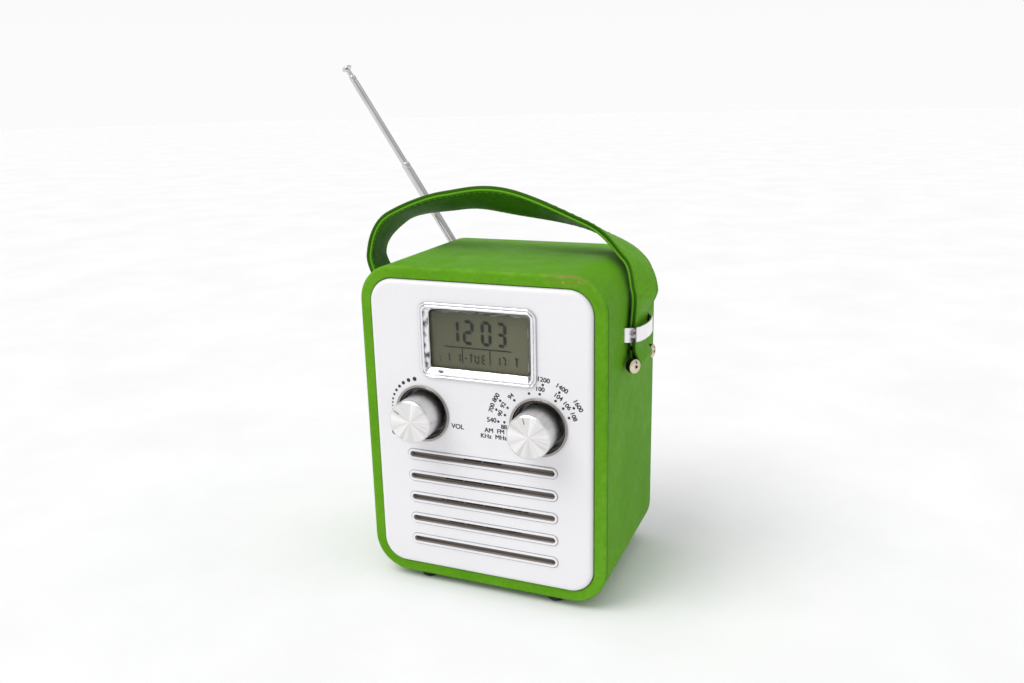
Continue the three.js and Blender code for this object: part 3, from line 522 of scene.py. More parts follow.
def window_glass():
    """A clear window: transparent through, with a faint smeared gloss."""
    s = Surface("window_clear", (1, 1, 1), 0.1)
    s.tree.nodes.remove(s.shader)
    clear = s.node("ShaderNodeBsdfTransparent", {0: (0.93, 0.95, 0.93, 1)}).outputs[0]
    smear = s.fit(s.noise(90, 2.0), 0.0, 1.0, 0.03, 0.12)
    gloss = s.node("ShaderNodeBsdfGlossy", {"Roughness": smear}).outputs[0]
    mixed = s.node("ShaderNodeMixShader", {0: 0.008, 1: clear, 2: gloss}).outputs[0]
    s.put(s.tree.nodes["Material Output"], "Surface", mixed)
    return s.material


def board_wood():
    """Pressed board: chips and fibres."""
    s = Surface("pressed_board", (0.42, 0.30, 0.17), 0.85)
    fibres = s.noise(1, 5, 0.7, s.stretched(500, 60, 500))
    s.tint(fibres, (0.30, 0.20, 0.11), (0.50, 0.37, 0.22))
    s.bump(s.cells(420), 0.2, 0.6)
    return s.material


def circuit():
    """Green solder mask over faint copper tracks."""
    s = Surface("circuit_board_green", (0.02, 0.12, 0.04), 0.4, Coat_Weight=0.4)
    tracks = s.node(
        "ShaderNodeTexBrick",
        {"Vector": s.stretched(1, 1, 1, (math.pi / 2, 0, 0)), "Scale": 300.0, "Mortar Size": 0.04},
    )
    lines = s.fit(s.noise(240, 1), 0.45, 0.5)
    s.color(s.blend(s.math("MULTIPLY", lines, 0.6), (0.015, 0.09, 0.03), (0.05, 0.22, 0.08)))
    s.bump(tracks.outputs["Fac"], 0.05, 0.5)
    return s.material


def rubber():
    s = Surface("foot_rubber_black", (0.012, 0.012, 0.012), 0.75)
    dust = s.fit(s.noise(250, 4, 0.7), 0.5, 0.75, 0.0, 0.5)
    s.color(s.blend(dust, (0.010, 0.010, 0.011), (0.045, 0.042, 0.038)))
    s.bump(s.cells(1600), 0.08, 0.6)
    return s.material


def paper_cone():
    """Pressed paper: felted fibres."""
    s = Surface("cone_paper_black", (0.03, 0.03, 0.03), 0.9)
    fibre = s.noise(1, 5, 0.75, s.stretched(900, 300, 900))
    s.tint(fibre, (0.012, 0.012, 0.012), (0.05, 0.048, 0.045))
    s.bump(fibre, 0.15, 0.7)
    return s.material


def sintered():
    s = Surface("ferrite_grey", (0.05, 0.05, 0.055), 0.65, 0.3)
    grain = s.noise(700, 4, 0.7)
    s.tint(grain, (0.03, 0.03, 0.032), (0.08, 0.08, 0.085))
    s.roughness(grain, 0.3, 0.7, 0.5, 0.8)
    s.bump(grain, 0.1, 0.6)
    return s.material


def print_ink(name, color):
    """Screen-printed ink with slightly uneven density."""
    s = Surface(name, color, 0.45)
    density = s.fit(s.noise(1600, 2), 0.35, 0.7, 0.0, 0.35)
    s.color(s.blend(density, color, tuple(c + 0.012 for c in color)))
    return s.material


GREEN = leatherette()
# the last colour of each strap material is its edge colour: painted shade for the outer strap, a painted highlight
# for the lining
STRAP_GREEN = strap_leather("strap_green", (0.100, 0.300, 0.010), (0.135, 0.370, 0.018), (0.030, 0.105, 0.006))
LINING_GREEN = strap_leather("strap_lining_green", (0.034, 0.115, 0.006), (0.050, 0.160, 0.009), (0.12, 0.34, 0.02))
THREAD = thread("strap_thread", (0.21, 0.47, 0.06))
WHITE = gloss_plastic("panel_white", (0.80, 0.795, 0.815))
BACK_WHITE = textured_plastic("back_white", (0.80, 0.80, 0.79), 0.45)
CHROME = plated("chrome_bright", (0.86, 0.86, 0.88), 0.07, (0.55, 0.54, 0.55), 0.18)
KEEPER_CHROME = plated("keeper_chrome", (0.88, 0.86, 0.88), 0.22, (0.60, 0.55, 0.58), 0.25, 0.05)
AERIAL_CHROME = plated("aerial_chrome", (0.66, 0.65, 0.64), 0.12, (0.42, 0.40, 0.37), 0.35)
NICKEL = plated("aged_nickel_tan", (0.74, 0.66, 0.50), 0.34, (0.20, 0.14, 0.08), 0.55, 0.08)
# painted reflection: a dark green-black copy of the nickel for the pin's rod, barrels and dents, standing in for the
# green wall reflected in them
NICKEL_DARK_REFLECTION = plated("nickel_painted_dark_reflection", (0.030, 0.038, 0.020), 0.42, (0.10, 0.065, 0.04), 0.5, 0.08)
STEEL = plated("zinc_steel", (0.50, 0.50, 0.51), 0.33, (0.30, 0.29, 0.27), 0.3)
RING = plated("ring_grey_brown", (0.42, 0.38, 0.36), 0.36, (0.25, 0.22, 0.20), 0.3)
BLACK_GLOSS = gloss_plastic("well_black", (0.012, 0.010, 0.010), 0.12, coat=0.6)
BLACK = textured_plastic("black_plastic_satin", (0.016, 0.016, 0.017), 0.42)
TAUPE = textured_plastic("taupe_plastic_satin", (0.20, 0.175, 0.155), 0.42)
SLOT_TAUPE = textured_plastic("slot_taupe_satin", (0.40, 0.355, 0.325), 0.45)
CREAM = gloss_plastic("cream_plastic", (0.72, 0.69, 0.58), 0.3)
KNOB_FACE = spun_face()
KNOB_SIDE = spun_side()
GROUND = display_ground()
GLASS = window_glass()
BOARD = board_wood()
CIRCUIT = circuit()
RUBBER = rubber()
PAPER = paper_cone()
FERRITE = sintered()
POINTER = print_ink("pointer_grey", (0.30, 0.28, 0.25))
INK = print_ink("scale_ink", (0.015, 0.015, 0.018))
SEGMENT = print_ink("segment_black", (0.004, 0.004, 0.003))
SEGMENT_SHADE = print_ink("segment_shade", (0.065, 0.060, 0.036))


# ---------------------------------------------------------------- leatherette wrap


def wrap_rings():
    """(inset, y) round the skin's section, with the role of each ring."""
    rings = [(RIM, FRONT + 0.8, ""), (RIM, FRONT + 0.4, ""), (5.98, FRONT + 0.12, ""), (5.7, FRONT, "lip")]
    rings += [(inset, FRONT, "face") for inset in (4.6, 3.4, 2.2, 1.5)]
    for turn in (0, 22, 45, 68, 90):
        a = math.radians(turn)
        rings.append((1.5 - 1.5 * math.sin(a), FRONT + 1.5 - 1.5 * math.cos(a), "edge"))
    rings += [(0, FRONT + 1.6, ""), (0, FRONT + 1.8, "crease_shade_and_seam"), (0, FRONT + 2.4, "crease_shade_and_seam"), (0, FRONT + 2.7, "")]
    rings += [(0, y, "") for y in (-40, -34, -24, -12)]
    back = [(inset, -y, "back_edge" if role == "edge" else "") for inset, y, role in reversed(rings)]
    return rings + [(0, 0, "")] + back + [(0.8, 44.7, ""), (0.8, -44.7, "")]


def build_wrap():
    shape = Shape()
    marks = {"edge": [], "scuff": [], "dust": [], "crease_shade_and_seam": []}
    rings = []
    for inset, y, role in wrap_rings():
        outline = cabinet_outline(inset, 14, 26)
        rings.append(raised(outline, y))
        for x, z in outline:
            drift = noise.noise(Vector((x * 0.06, y * 0.06, z * 0.06)))
            top = z > BODY["height"] - 9
            near_seam = abs(x + 2.3) < 0.7 and z < 8
            marks["edge"].append({"edge": 1.0, "back_edge": 0.8, "lip": 0.35}.get(role, 0.0))
            right_top = z > BODY["height"] - 12 and role in ("edge", "face")
            falloff = max(0, 1 - ((x - 46) / 13) ** 2) if right_top else 0
            marks["scuff"].append(falloff * (1.0 if role == "edge" and y > FRONT + 0.2 else 0.25))
            marks["dust"].append(1.0 if top and y > 34 else 0.0)
            # the crease mark: painted shade on the right side's crease rings, and the dark joint line near the butt
            # seam at the bottom
            right_side = x > BODY["half_width"] - 1 and role == "crease_shade_and_seam"
            marks["crease_shade_and_seam"].append(0.85 + 0.15 * drift if right_side or near_seam and inset > 0.5 else 0.0)
    shape.loft(rings, around=True)
    piece("leatherette_skin", shape, [GREEN], "cabinet", "leatherette_wrap", marks=marks, sharp=60)


# ---------------------------------------------------------------- front panel


LIP_EDGE = 1.75
# the third value of each lip ring is the painted shade of the groove at the lip's foot
LIP = [
    (LIP_EDGE, PANEL_FACE, 0.0), (1.58, PANEL_FACE + 0.02, 0.7), (1.42, PANEL_FACE + 0.02, 1.0),
    (1.32, PANEL_FACE - 0.22, 0.5), (1.15, PANEL_FACE - 0.50, 0.0), (0.85, PANEL_FACE - 0.6, 0.0),
    (0.4, PANEL_FACE - 0.6, 0.0), (0.14, PANEL_FACE - 0.5, 0.0), (0.02, PANEL_FACE - 0.25, 0.1),
]
SLOT_WALL = [(0.02, PANEL_FACE - 0.25), (0, PANEL_FACE + 0.2), (0, PANEL_BACK)]


def build_front_panel():
    shape = Shape()
    inset = PANEL_INSET
    pillow = 2.4
    rim = [(inset + 2, -37.5), (inset, -37.5), (inset, -44), (inset, PANEL_FACE + pillow)]
    for step in range(1, 7):
        a = math.radians(15 * step)
        rim.append((inset + pillow * (1 - math.cos(a)), PANEL_FACE + pillow * (1 - math.sin(a))))
    rim += [(inset + pillow + 0.4, PANEL_FACE)]
    shape.loft([raised(cabinet_outline(i), y) for i, y in rim])
    inner = [(inset + 2, -37.5), (inset + 2, PANEL_BACK)]
    shape.loft([raised(cabinet_outline(i), y) for i, y in inner])
    # painted shade values for each point, set round the slot lips
    grime_and_groove_shade = [0.0] * len(shape.points)
    for z in SLOT["rows"]:
        shape.loft([raised(stadium(z, grow), y) for grow, y, _ in LIP])
        grime_and_groove_shade += [mark for _, _, mark in LIP for _ in stadium(z, 0)]
        shape.loft([raised(stadium(z, grow), y) for grow, y in SLOT_WALL], kind=1)
        grime_and_groove_shade += [0.0] * (len(shape.points) - len(grime_and_groove_shade))
    window = display_outline(1.4)
    wells = [circle(side * KNOB["x"], KNOB["z"], 14.5) for side in (-1, 1)]
    for hole in [window, *wells]:
        shape.loft([raised(hole, PANEL_FACE), raised(hole, PANEL_BACK)])
    front_holes = [window, *wells, *[stadium(z, LIP_EDGE) for z in SLOT["rows"]]]
    shape.sheet(cabinet_outline(inset + pillow + 0.4), front_holes, PANEL_FACE)
    back_holes = [window, *wells, *[stadium(z, 0) for z in SLOT["rows"]]]
    shape.sheet(cabinet_outline(inset + 2), back_holes, PANEL_BACK)
    for side in (-1, 1):
        for z in (84, 150):
            section = [(3, PANEL_BACK - 0.5), (3, -25.3), (1.5, -25.3), (1.5, -22), (0, -22)]
            turned(fillet(section, 0.3), 24, move=Matrix.Translation((side * 52, 0, z)), shape=shape)
    marks = {"grime_and_groove_shade": grime_and_groove_shade + [0.0] * (len(shape.points) - len(grime_and_groove_shade))}
    looks = [WHITE, SLOT_TAUPE]
    piece("front_panel_moulding", shape, looks, "cabinet", "front_panel", sharp=40, marks=marks)


# ---------------------------------------------------------------- printed scales


CAPITAL_SHARE = 0.70
BOLD_SHIFTS = [(-0.11, 0.05), (0.11, 0.05), (-0.11, -0.05), (0.11, -0.05)]


def text_shape(shape, text, height, x, z, turn=0.0, stretch=1.0):
    """Adds flat letters that face the front, centred on (x, z) and turned anticlockwise by turn degrees.

    Four copies, shifted a little and each a little nearer the viewer, make the print bold.
    """
    curve = bpy.data.curves.new("letters", "FONT")
    curve.body = text
    curve.align_x = "CENTER"
    curve.align_y = "CENTER"
    curve.size = height / CAPITAL_SHARE
    letters = bpy.data.objects.new("letters", curve)
    bpy.context.scene.collection.objects.link(letters)
    bpy.context.view_layer.update()
    mesh = letters.evaluated_get(bpy.context.evaluated_depsgraph_get()).to_mesh()
    cos, sin = math.cos(math.radians(turn)), math.sin(math.radians(turn))
    for copy, (shift, rise) in enumerate(BOLD_SHIFTS):
        points = []
        for vertex in mesh.vertices:
            u, v = vertex.co.x * stretch + shift, vertex.co.y + rise
            points.append((x + u * cos - v * sin, PRINT - 0.004 * copy, z + u * sin + v * cos))
        shape.add(points, [list(p.vertices) for p in mesh.polygons])
    bpy.data.objects.remove(letters)
    bpy.data.curves.remove(curve)


SCALE_DOT = 0.68
LABEL_OFFSET = 2.5


def dot(shape, x, z, radius=SCALE_DOT):
    shape.face(shape.ring(raised(circle(x, z, radius, 20), PRINT)))


AM_DOTS = {
    "700": (9.5, 99.2), "800": (11.7, 104.1), "1200": (33.9, 114.4), "1400": (42.2, 111.5), "1600": (49.4, 104.5),
}
FM_DOTS = {
    "90": (14.0, 96.9), "92": (15.5, 100.8), "94": (19.1, 105.1), "": (26.8, 109.4),
    "100": (32.3, 109.6), "104": (40.3, 107.1), "106": (44.1, 103.7), "108": (47.0, 99.3),
}
VOLUME_DOTS = [
    (-35.0, 110.5), (-38.5, 109.5), (-41.6, 107.8), (-43.9, 105.7), (-45.8, 103.5),
    (-47.2, 101.1), (-48.1, 98.7), (-48.4, 96.7), (-48.6, 94.9), (-48.6, 93.1),
]
UPRIGHT_LABELS = [
    ("540", 2.4, 6.8, 93.4), ("88", 2.2, 13.3, 90.5), ("AM", 2.3, 5.2, 87.8), ("FM", 2.3, 11.5, 87.8),
    ("KHz", 2.3, 3.5, 84.6), ("MHz", 2.3, 11.6, 84.7),
]


def build_scales():
    tuning = Shape()
    for dots, height in ((AM_DOTS, 2.3), (FM_DOTS, 2.2)):
        for text, (x, z) in dots.items():
            dot(tuning, x, z)
            away = Vector((x - KNOB["x"], z - KNOB["z"]))
            place = Vector((x, z)) + away.normalized() * LABEL_OFFSET
            turn = math.degrees(math.atan2(away.y, away.x)) - 90
            if text:
                text_shape(tuning, text, height, place.x, place.y, turn, 1.02)
    dot(tuning, 10.4, 93.1)
    dot(tuning, 13.6, 93.1)
    for text, height, x, z in UPRIGHT_LABELS:
        text_shape(tuning, text, height, x, z)
    piece("tuning_scale", tuning, [INK], "cabinet", weighted=False)
    volume = Shape()
    for i, (x, z) in enumerate(VOLUME_DOTS):
        dot(volume, x, z, 1.12 - 0.088 * i)
    text_shape(volume, "VOL", 2.5, -11.9, 87.7)
    text_shape(volume, "OFF", 2.3, -46.6, 80.2, stretch=1.1)
    piece("volume_scale", volume, [INK], "cabinet", weighted=False)


# ---------------------------------------------------------------- clock display


def bezel_shade(x, z, inset):
    """Painted dark reflections on the chrome: wavy streaks on the sloping mouth, strongest at its left and lower
    left, dark lines at the outer edge and between the ridges, and a darker inner wall.
    """
    if inset < 2.8:
        return {0.0: 0.4, 0.14: 0.3, 1.2: 0.25, 1.34: 0.45, 1.5: 0.25}.get(inset, 0.0)
    if inset > 4.6:
        return 0.5
    wave = noise.noise(Vector((x * 0.11, z * 0.24, inset * 0.55)))
    left = x < -DISPLAY["half_width"] + 5.5
    low = z < DISPLAY["z"] - DISPLAY["half_height"] + 5.5
    if low and not left:
        wave = noise.noise(Vector((x * 0.17, z * 0.5, inset * 0.8)))
        return min(1.0, 0.45 + max(0.0, 0.4 + 2.6 * wave) * max(0.0, 0.9 - (x + 26) / 40))
    reach = 0.95 if left else 0.25
    return min(1.0, max(0.0, 0.3 + 2.6 * wave)) * reach


def build_bezel():
    """Chrome frame with a rounded outer ridge, a groove, an inner ridge and slightly wavy inner walls."""
    section = [
        (1.7, -45.9), (1.7, -47.8), (0.0, -47.8), (0.0, -48.2), (0.14, -48.5), (0.45, -48.68), (0.8, -48.66),
        (1.05, -48.5), (1.2, -48.26), (1.34, -48.18), (1.5, -48.28), (1.68, -48.54), (1.95, -48.68),
        (2.3, -48.68), (2.58, -48.58), (2.85, -48.3), (3.3, -47.85), (3.8, -47.3), (4.4, -46.6), (4.8, -46.2),
        (4.98, -46.05), (5.0, -45.9),
    ]
    rings = []
    painted_dark_reflection = []
    round_until = 4.0
    for inset, y in section:
        outline = display_outline(min(inset, round_until), 8, 44)
        if inset > round_until:
            deeper = inset - round_until
            outline = [
                (x - math.copysign(deeper, x), z - math.copysign(deeper, z - DISPLAY["z"])) for x, z in outline
            ]
        sway = 0.09 if 3.2 < inset < 4.9 else 0.0
        rings.append([(x, y + sway * math.sin(0.5 * x + 0.37 * z + 1.3 * inset), z) for x, z in outline])
        painted_dark_reflection += [bezel_shade(x, z, inset) for x, z in outline]
    shape = Shape()
    shape.loft(rings, around=True)
    piece("display_bezel", shape, [CHROME], "cabinet", "lcd_bezel", sharp=50, marks={"painted_dark_reflection": painted_dark_reflection})


SEGMENTS = {
    "0": "abcdef", "1": "bc", "2": "abged", "3": "abgcd", "7": "abc", "-": "g", "=": "gd",
    "T": "ai", "U": "bcdef", "E": "adefg", ":": ".", "l": "ef",
}


def bar(shape, ends, stroke, y):
    """A display segment: a bar with pointed ends."""
    (x0, z0), (x1, z1) = ends
    along = Vector((x1 - x0, z1 - z0)).normalized()
    side = Vector((-along.y, along.x)) * stroke / 2
    tip = along * stroke / 2
    start, end = Vector((x0, z0)), Vector((x1, z1))
    corners = [start, start + tip + side, end - tip + side, end, end - tip - side, start + tip - side]
    shape.face(shape.ring([(p.x, y, p.y) for p in corners]))


def character(shape, symbol, left, right, low, high, stroke, y, shift):
    """Adds a sign made of segments between left and right, low and high."""
    h = stroke / 2
    x0, x1, z0, z1 = left + h + shift, right - h + shift, low + h - shift, high - h - shift
    zm, xm, gap = (z0 + z1) / 2, (x0 + x1) / 2, stroke * 0.16
    lines = {
        "a": ((x0 + gap, z1), (x1 - gap, z1)), "b": ((x1, z1 - gap), (x1, zm + gap)),
        "c": ((x1, zm - gap), (x1, z0 + gap)), "d": ((x0 + gap, z0), (x1 - gap, z0)),
        "e": ((x0, zm - gap), (x0, z0 + gap)), "f": ((x0, z1 - gap), (x0, zm + gap)),
        "g": ((x0 + gap, zm), (x1 - gap, zm)), "i": ((xm, z1 - 2 * gap), (xm, z0)),
    }
    for part in SEGMENTS[symbol]:
        if part == ".":
            for z in (zm + (z1 - zm) / 2, zm - (zm - z0) / 2):
                bar(shape, ((xm - h, z), (xm + h, z)), stroke, y)
        else:
            bar(shape, lines[part], stroke, y)


BIG_DIGITS = [("1", -16.2, -10.7), ("2", -8.7, -2.8), ("0", 1.0, 6.6), ("3", 9.0, 14.4)]
SMALL_SIGNS = [
    ("=", -22.3, -20.4), ("l", -16.8, -14.6), ("l", -10.9, -9.6), ("-", -8.4, -6.3), ("T", -5.9, -3.3),
    ("U", -2.7, -0.3), ("E", 1.0, 3.3), ("l", 10.3, 11.4), ("7", 11.6, 13.8), (":", 14.6, 16.2), ("T", 18.1, 21.0),
]


def build_display_segments():
    face = in_cabinet("lcd_display")[0].y
    for name, look, y, shift in (("lit", SEGMENT, face - 0.1, 0.0), ("shade", SEGMENT_SHADE, face - 0.05, 0.3)):
        shape = Shape()
        for symbol, left, right in BIG_DIGITS:
            character(shape, symbol, left, right, 130.1, 142.6, 1.6, y, shift)
        for symbol, left, right in SMALL_SIGNS:
            character(shape, symbol, left, right, 120.7, 125.4, 0.62, y, shift)
        bar(shape, ((-19.1 + shift, 128.4 - shift), (16.8 + shift, 128.4 - shift)), 0.5, y)
        for x in (-9.3, 5.5):
            bar(shape, ((x + shift, 128 - shift), (x + shift, 120.4 - shift)), 0.4, y)
        piece(f"display_segments_{name}", shape, [look], "cabinet", weighted=False)


# ---------------------------------------------------------------- knobs


def knob_place(side):
    return side * KNOB["x"], 0, KNOB["z"]


def build_knob(name, side, body, pointer_angle):
    at = knob_place(side)
    radius, face, base = KNOB["radius"], KNOB["face"], KNOB["base"]
    front = [(0, face + 0.32), (3, face + 0.28), (6, face + 0.17), (9, face + 0.03), (radius - 0.75, face)]
    edge = [(radius - 0.75, face), (radius - 0.62, face + 0.04), (radius - 0.06, face + 0.62), (radius, face + 0.8)]
    wall = [
        (radius, face + 0.8), (radius, -48), (radius, base - 0.3), (radius - 0.3, base), (radius - 1.6, base),
        (radius - 1.6, face + 5), (5, face + 5), (5, base - 1.5), (3.3, base - 1.5), (3.3, face + 6), (0, face + 6),
    ]
    shape = turned(front, 96)
    turned(edge, 96, kind=1, shape=shape)
    turned(wall, 96, kind=1, shape=shape)
    piece(
        f"{name}_knob_turned", shape, [KNOB_FACE, KNOB_SIDE], body, f"{name}_knob", at=at, sharp=30,
    )
    mark = Shape()
    a = math.radians(pointer_angle)
    along, across = Vector((math.cos(a), math.sin(a))), Vector((-math.sin(a), math.cos(a)))
    rings = []
    for reach, wide in ((6.7, 0.05), (6.85, 0.3), (8.3, 0.34), (9.7, 0.3), (9.85, 0.05)):
        centre = along * reach
        depth = face + 0.22 * (1 - reach / 10)
        rings.append([
            (centre.x + across.x * w, depth - lift, centre.y + across.y * w)
            for w, lift in ((-wide, 0.0), (-wide * 0.7, 0.035), (wide * 0.7, 0.035), (wide, 0.0))
        ])
    mark.loft(rings, closed=False)
    piece(f"{name}_knob_pointer", mark, [POINTER], body, at=at, weighted=False)


def build_well(name, side):
    at = knob_place(side)
    ring = fillet(
        [(15, -47.8), (15, -48.25), (13.8, -47.95), (13.8, -44), (14.2, -44), (14.2, -47.8)], 0.14, 3, closed=True
    )
    piece(f"{name}_bevel_ring", turned(ring, 96, True), [RING], "cabinet", f"{name}_ring", at=at)
    cup = fillet(
        [(13.5, -47.2), (13.5, -40.8), (3.5, -40.8), (3.5, -42), (12.7, -42), (12.7, -47.2)], 0.3, 3, closed=True
    )
    piece(f"{name}_dark_well", turned(cup, 96, True), [BLACK_GLOSS], "cabinet", f"{name}_well", at=at)


# ---------------------------------------------------------------- carrying strap

STRAP_X = 68.0
STRAP_HALF = 12.0
LAYER = 1.35
SEAM = 0.15
ARCH = [
    (-STRAP_X, 0, 127, 0), (-STRAP_X, 0, 138, 1), (-83, 4, 163.5, 10), (-72, 9.5, 183.5, -10), (-39, 13, 192.8, -25),
    (-7, 13, 193.2, -37), (38, 12.6, 181.8, -17), (62, 9, 167.3, 1), (70.2, 1.2, 152.7, 13), (STRAP_X, 0, 138, 1),
    (STRAP_X, 0, 127, 0),
]
PIN = {"x": 69.2, "z": 117.8, "loop": 1.6 + 0.3 + LAYER / 2}


def arch_frame(t):
    """Position, width direction and outward normal of the strap at t from 0 to 1."""
    place = t * (len(ARCH) - 1)
    low = min(int(place), len(ARCH) - 2)
    w = place - low
    p = [Vector(corner[:3]) for corner in ARCH]
    p1, p2 = p[low], p[low + 1]
    p0 = p[low - 1] if low > 0 else p1 * 2 - p2
    p3 = p[low + 2] if low + 2 < len(p) else p2 * 2 - p1
    rate = p2 - p0
    square = 2 * p0 - 5 * p1 + 4 * p2 - p3
    cube = 3 * p1 - p0 - 3 * p2 + p3
    at = 0.5 * (2 * p1 + rate * w + square * w ** 2 + cube * w ** 3)
    along = 0.5 * (rate + 2 * square * w + 3 * cube * w ** 2)
    along.normalize()
    across = Vector((0, 1, 0))
    across = (across - along * across.dot(along)).normalized()
    out = along.cross(across)
    smooth = w * w * (3 - 2 * w)
    angle = math.radians(ARCH[low][3] + (ARCH[low + 1][3] - ARCH[low][3]) * smooth)
    width = across * math.cos(angle) + out * math.sin(angle)
    return at, width, along.cross(width)


def loop_frames(side):
    """The strap's end: it swings out, goes round the pin and folds back up inside."""
    middle = STRAP_X + SEAM + LAYER / 2
    plan = [(middle, 126.2, 2), (middle + 0.1, 124.8, 8), (middle + 0.45, 123.3, 16), (middle + 1.1, 121.8, 24)]
    for step in range(17):
        degrees = 30 - step * 13
        a = math.radians(degrees)
        plan.append((PIN["x"] + PIN["loop"] * math.cos(a), PIN["z"] + PIN["loop"] * math.sin(a), degrees))
    plan += [(66.8, 120.6, 180), (66.85, 122.2, 180), (66.9, 124.2, 180)]
    frames = []
    for x, z, degrees in plan:
        a = math.radians(degrees)
        normal = Vector((side * math.cos(a), 0, math.sin(a)))
        frames.append((Vector((side * x, 0, z)), Vector((0, 1, 0)), normal))
    return frames


def strap_section(half, inner, outer):
    """(across, along the normal, edge mark) round a leather layer with rounded edges and a pressed line; the edge
    mark sets where the painted edge shade or highlight goes.
    """
    mid = (inner + outer) / 2
    tall = (outer - inner) / 2
    top = [
        (-half, mid, 1.0), (-half + 0.12, mid + tall * 0.6, 0.9), (-half + 0.45, outer, 0.35),
        (-half + 1.5, outer, 0.0), (-half + 1.8, outer - 0.10, 0.5), (-half + 2.1, outer, 0.0),
        (-half * 0.5, outer + 0.02, 0.0), (0, outer + 0.03, 0.0), (half * 0.5, outer + 0.02, 0.0),
        (half - 2.1, outer, 0.0), (half - 1.8, outer - 0.10, 0.5), (half - 1.5, outer, 0.0),
        (half - 0.45, outer, 0.35), (half - 0.12, mid + tall * 0.6, 0.9), (half, mid, 1.0),
    ]
    under = [
        (half - 0.12, mid - tall * 0.6, 0.9), (half - 0.45, inner, 0.35), (half - 2, inner, 0.0), (0, inner, 0.0),
        (-half + 2, inner, 0.0), (-half + 0.45, inner, 0.35), (-half + 0.12, mid - tall * 0.6, 0.9),
    ]
    return top + under


def strap_layer(name, frames, sections, look, node):
    shape = Shape()
    edges = []
    rings = []
    for (at, width, normal), section in zip(frames, sections):
        rings.append([at + width * w + normal * n for w, n, _ in section])
        edges += [mark for _, _, mark in section]
    shape.tube(rings)
    piece(name, shape, [look], "carrying_strap", node, marks={"edge": edges}, sharp=70, weighted=False)


def stitches(name, frames, offset, height):
    """Two rows of thread along the strap, one row beside each edge."""
    shape = Shape()
    for row in (-1, 1):
        for index in range(0, len(frames) - 1, 2):
            at, width, normal = frames[index]
            ahead = frames[index + 1][0] - at
            length = ahead.length * 0.82
            direction = ahead.normalized()
            centre = at + ahead / 2 + width * row * offset + normal * height
            rings = []
            for t, size in ((-0.5, 0.05), (-0.42, 0.16), (0, 0.22), (0.42, 0.16), (0.5, 0.05)):
                lift = normal * (0.06 - 0.24 * t * t)
                middle = centre + direction * length * t + lift
                rings.append([
                    middle + width * size * math.cos(a) + normal * size * math.sin(a) for a in full_turn(6)
                ])
            shape.loft(rings)
    piece(name, shape, [THREAD], "carrying_strap", sharp=80, weighted=False)


def build_strap():
    steps, stitch_steps = 170, 190
    arch = [arch_frame(i / steps) for i in range(steps + 1)]
    left = list(reversed(loop_frames(-1)))
    right = loop_frames(1)
    bent = strap_section(STRAP_HALF, -LAYER / 2, LAYER / 2)
    outer = strap_section(STRAP_HALF, SEAM, SEAM + LAYER)
    sections = [bent] * len(left) + [outer] * len(arch) + [bent] * len(right)
    strap_layer("strap_outer_leather", left + arch + right, sections, STRAP_GREEN, "handle_strap")
    lining = [(w, -n, mark) for w, n, mark in strap_section(STRAP_HALF - 0.25, SEAM, SEAM + LAYER)]
    strap_layer("strap_lining_leather", arch, [lining] * len(arch), LINING_GREEN, "handle_lining")
    seam = [arch_frame(i / stitch_steps) for i in range(8, 183)]
    stitches("strap_stitching_outer", seam, STRAP_HALF - 1.8, SEAM + LAYER)
    stitches("strap_stitching_inner", seam, STRAP_HALF - 2.0, -SEAM - LAYER)


def quadratic(start, pull, end, steps):
    start, pull, end = Vector(start), Vector(pull), Vector(end)
    result = []
    for step in range(1, steps + 1):
        t = step / steps
        result.append(tuple((1 - t) ** 2 * start + 2 * t * (1 - t) * pull + t * t * end))
    return result


def keeper_line(grow):
    """(x, y) along one face of the keeper's band, moved out by grow, from its front leg round to its rear leg."""
    foot, wall, end = 61.4, 65.2, 17.2 + grow
    knee, shoulder = (69.8 + grow, 15.4 + grow * 0.8), (72.4 + grow, 11.2 + grow * 0.3)
    front = [(foot, end), (wall, end)]
    front += quadratic(front[-1], (66.6 + grow * 0.5, end - 0.1), knee, 8)
    front += quadratic(knee, (71.6 + grow, 13.4 + grow * 0.5), shoulder, 8)
    near = [(x, -y) for x, y in front]
    crown = quadratic(near[-1], (75.1 + grow, 0), shoulder, 26)
    return near + crown + list(reversed(front[:-1]))


def build_keeper(name, side):
    """A bowed band with rolled long edges."""
    low, high, metal, knee = 129.8, 137.3, 0.9, 15.4
    section = [
        (0.75, low + 0.05), (1.0, low + 0.28), (1.0, low + 0.6), (0.86, low + 1.0), (0.86, high - 1.0),
        (1.0, high - 0.6), (1.0, high - 0.28), (0.75, high - 0.05),
    ]
    rings = []
    painted_dark_reflection = []
    for outer, inner in zip(keeper_line(0.0), keeper_line(-metal)):
        outer, inner = Vector(outer), Vector(inner)
        middle = (outer + inner) / 2
        ring = [(*(middle + (outer - middle) * share), z) for share, z in section]
        ring += [(*(middle + (inner - middle) * share), z) for share, z in reversed(section)]
        rings.append([(side * x, side * y, z) for x, y, z in ring])
        # painted reflection: a dark band at the knee of the keeper
        painted_dark_reflection += [min(1, max(0, 2.2 - abs(abs(outer.y) - knee) / 0.55))] * len(ring)
    shape = Shape()
    shape.tube(rings)
    piece(
        f"keeper_band_{name}", shape, [KEEPER_CHROME], "cabinet", f"strap_keeper_{name}",
        sharp=50, marks={"painted_dark_reflection": painted_dark_reflection},
    )


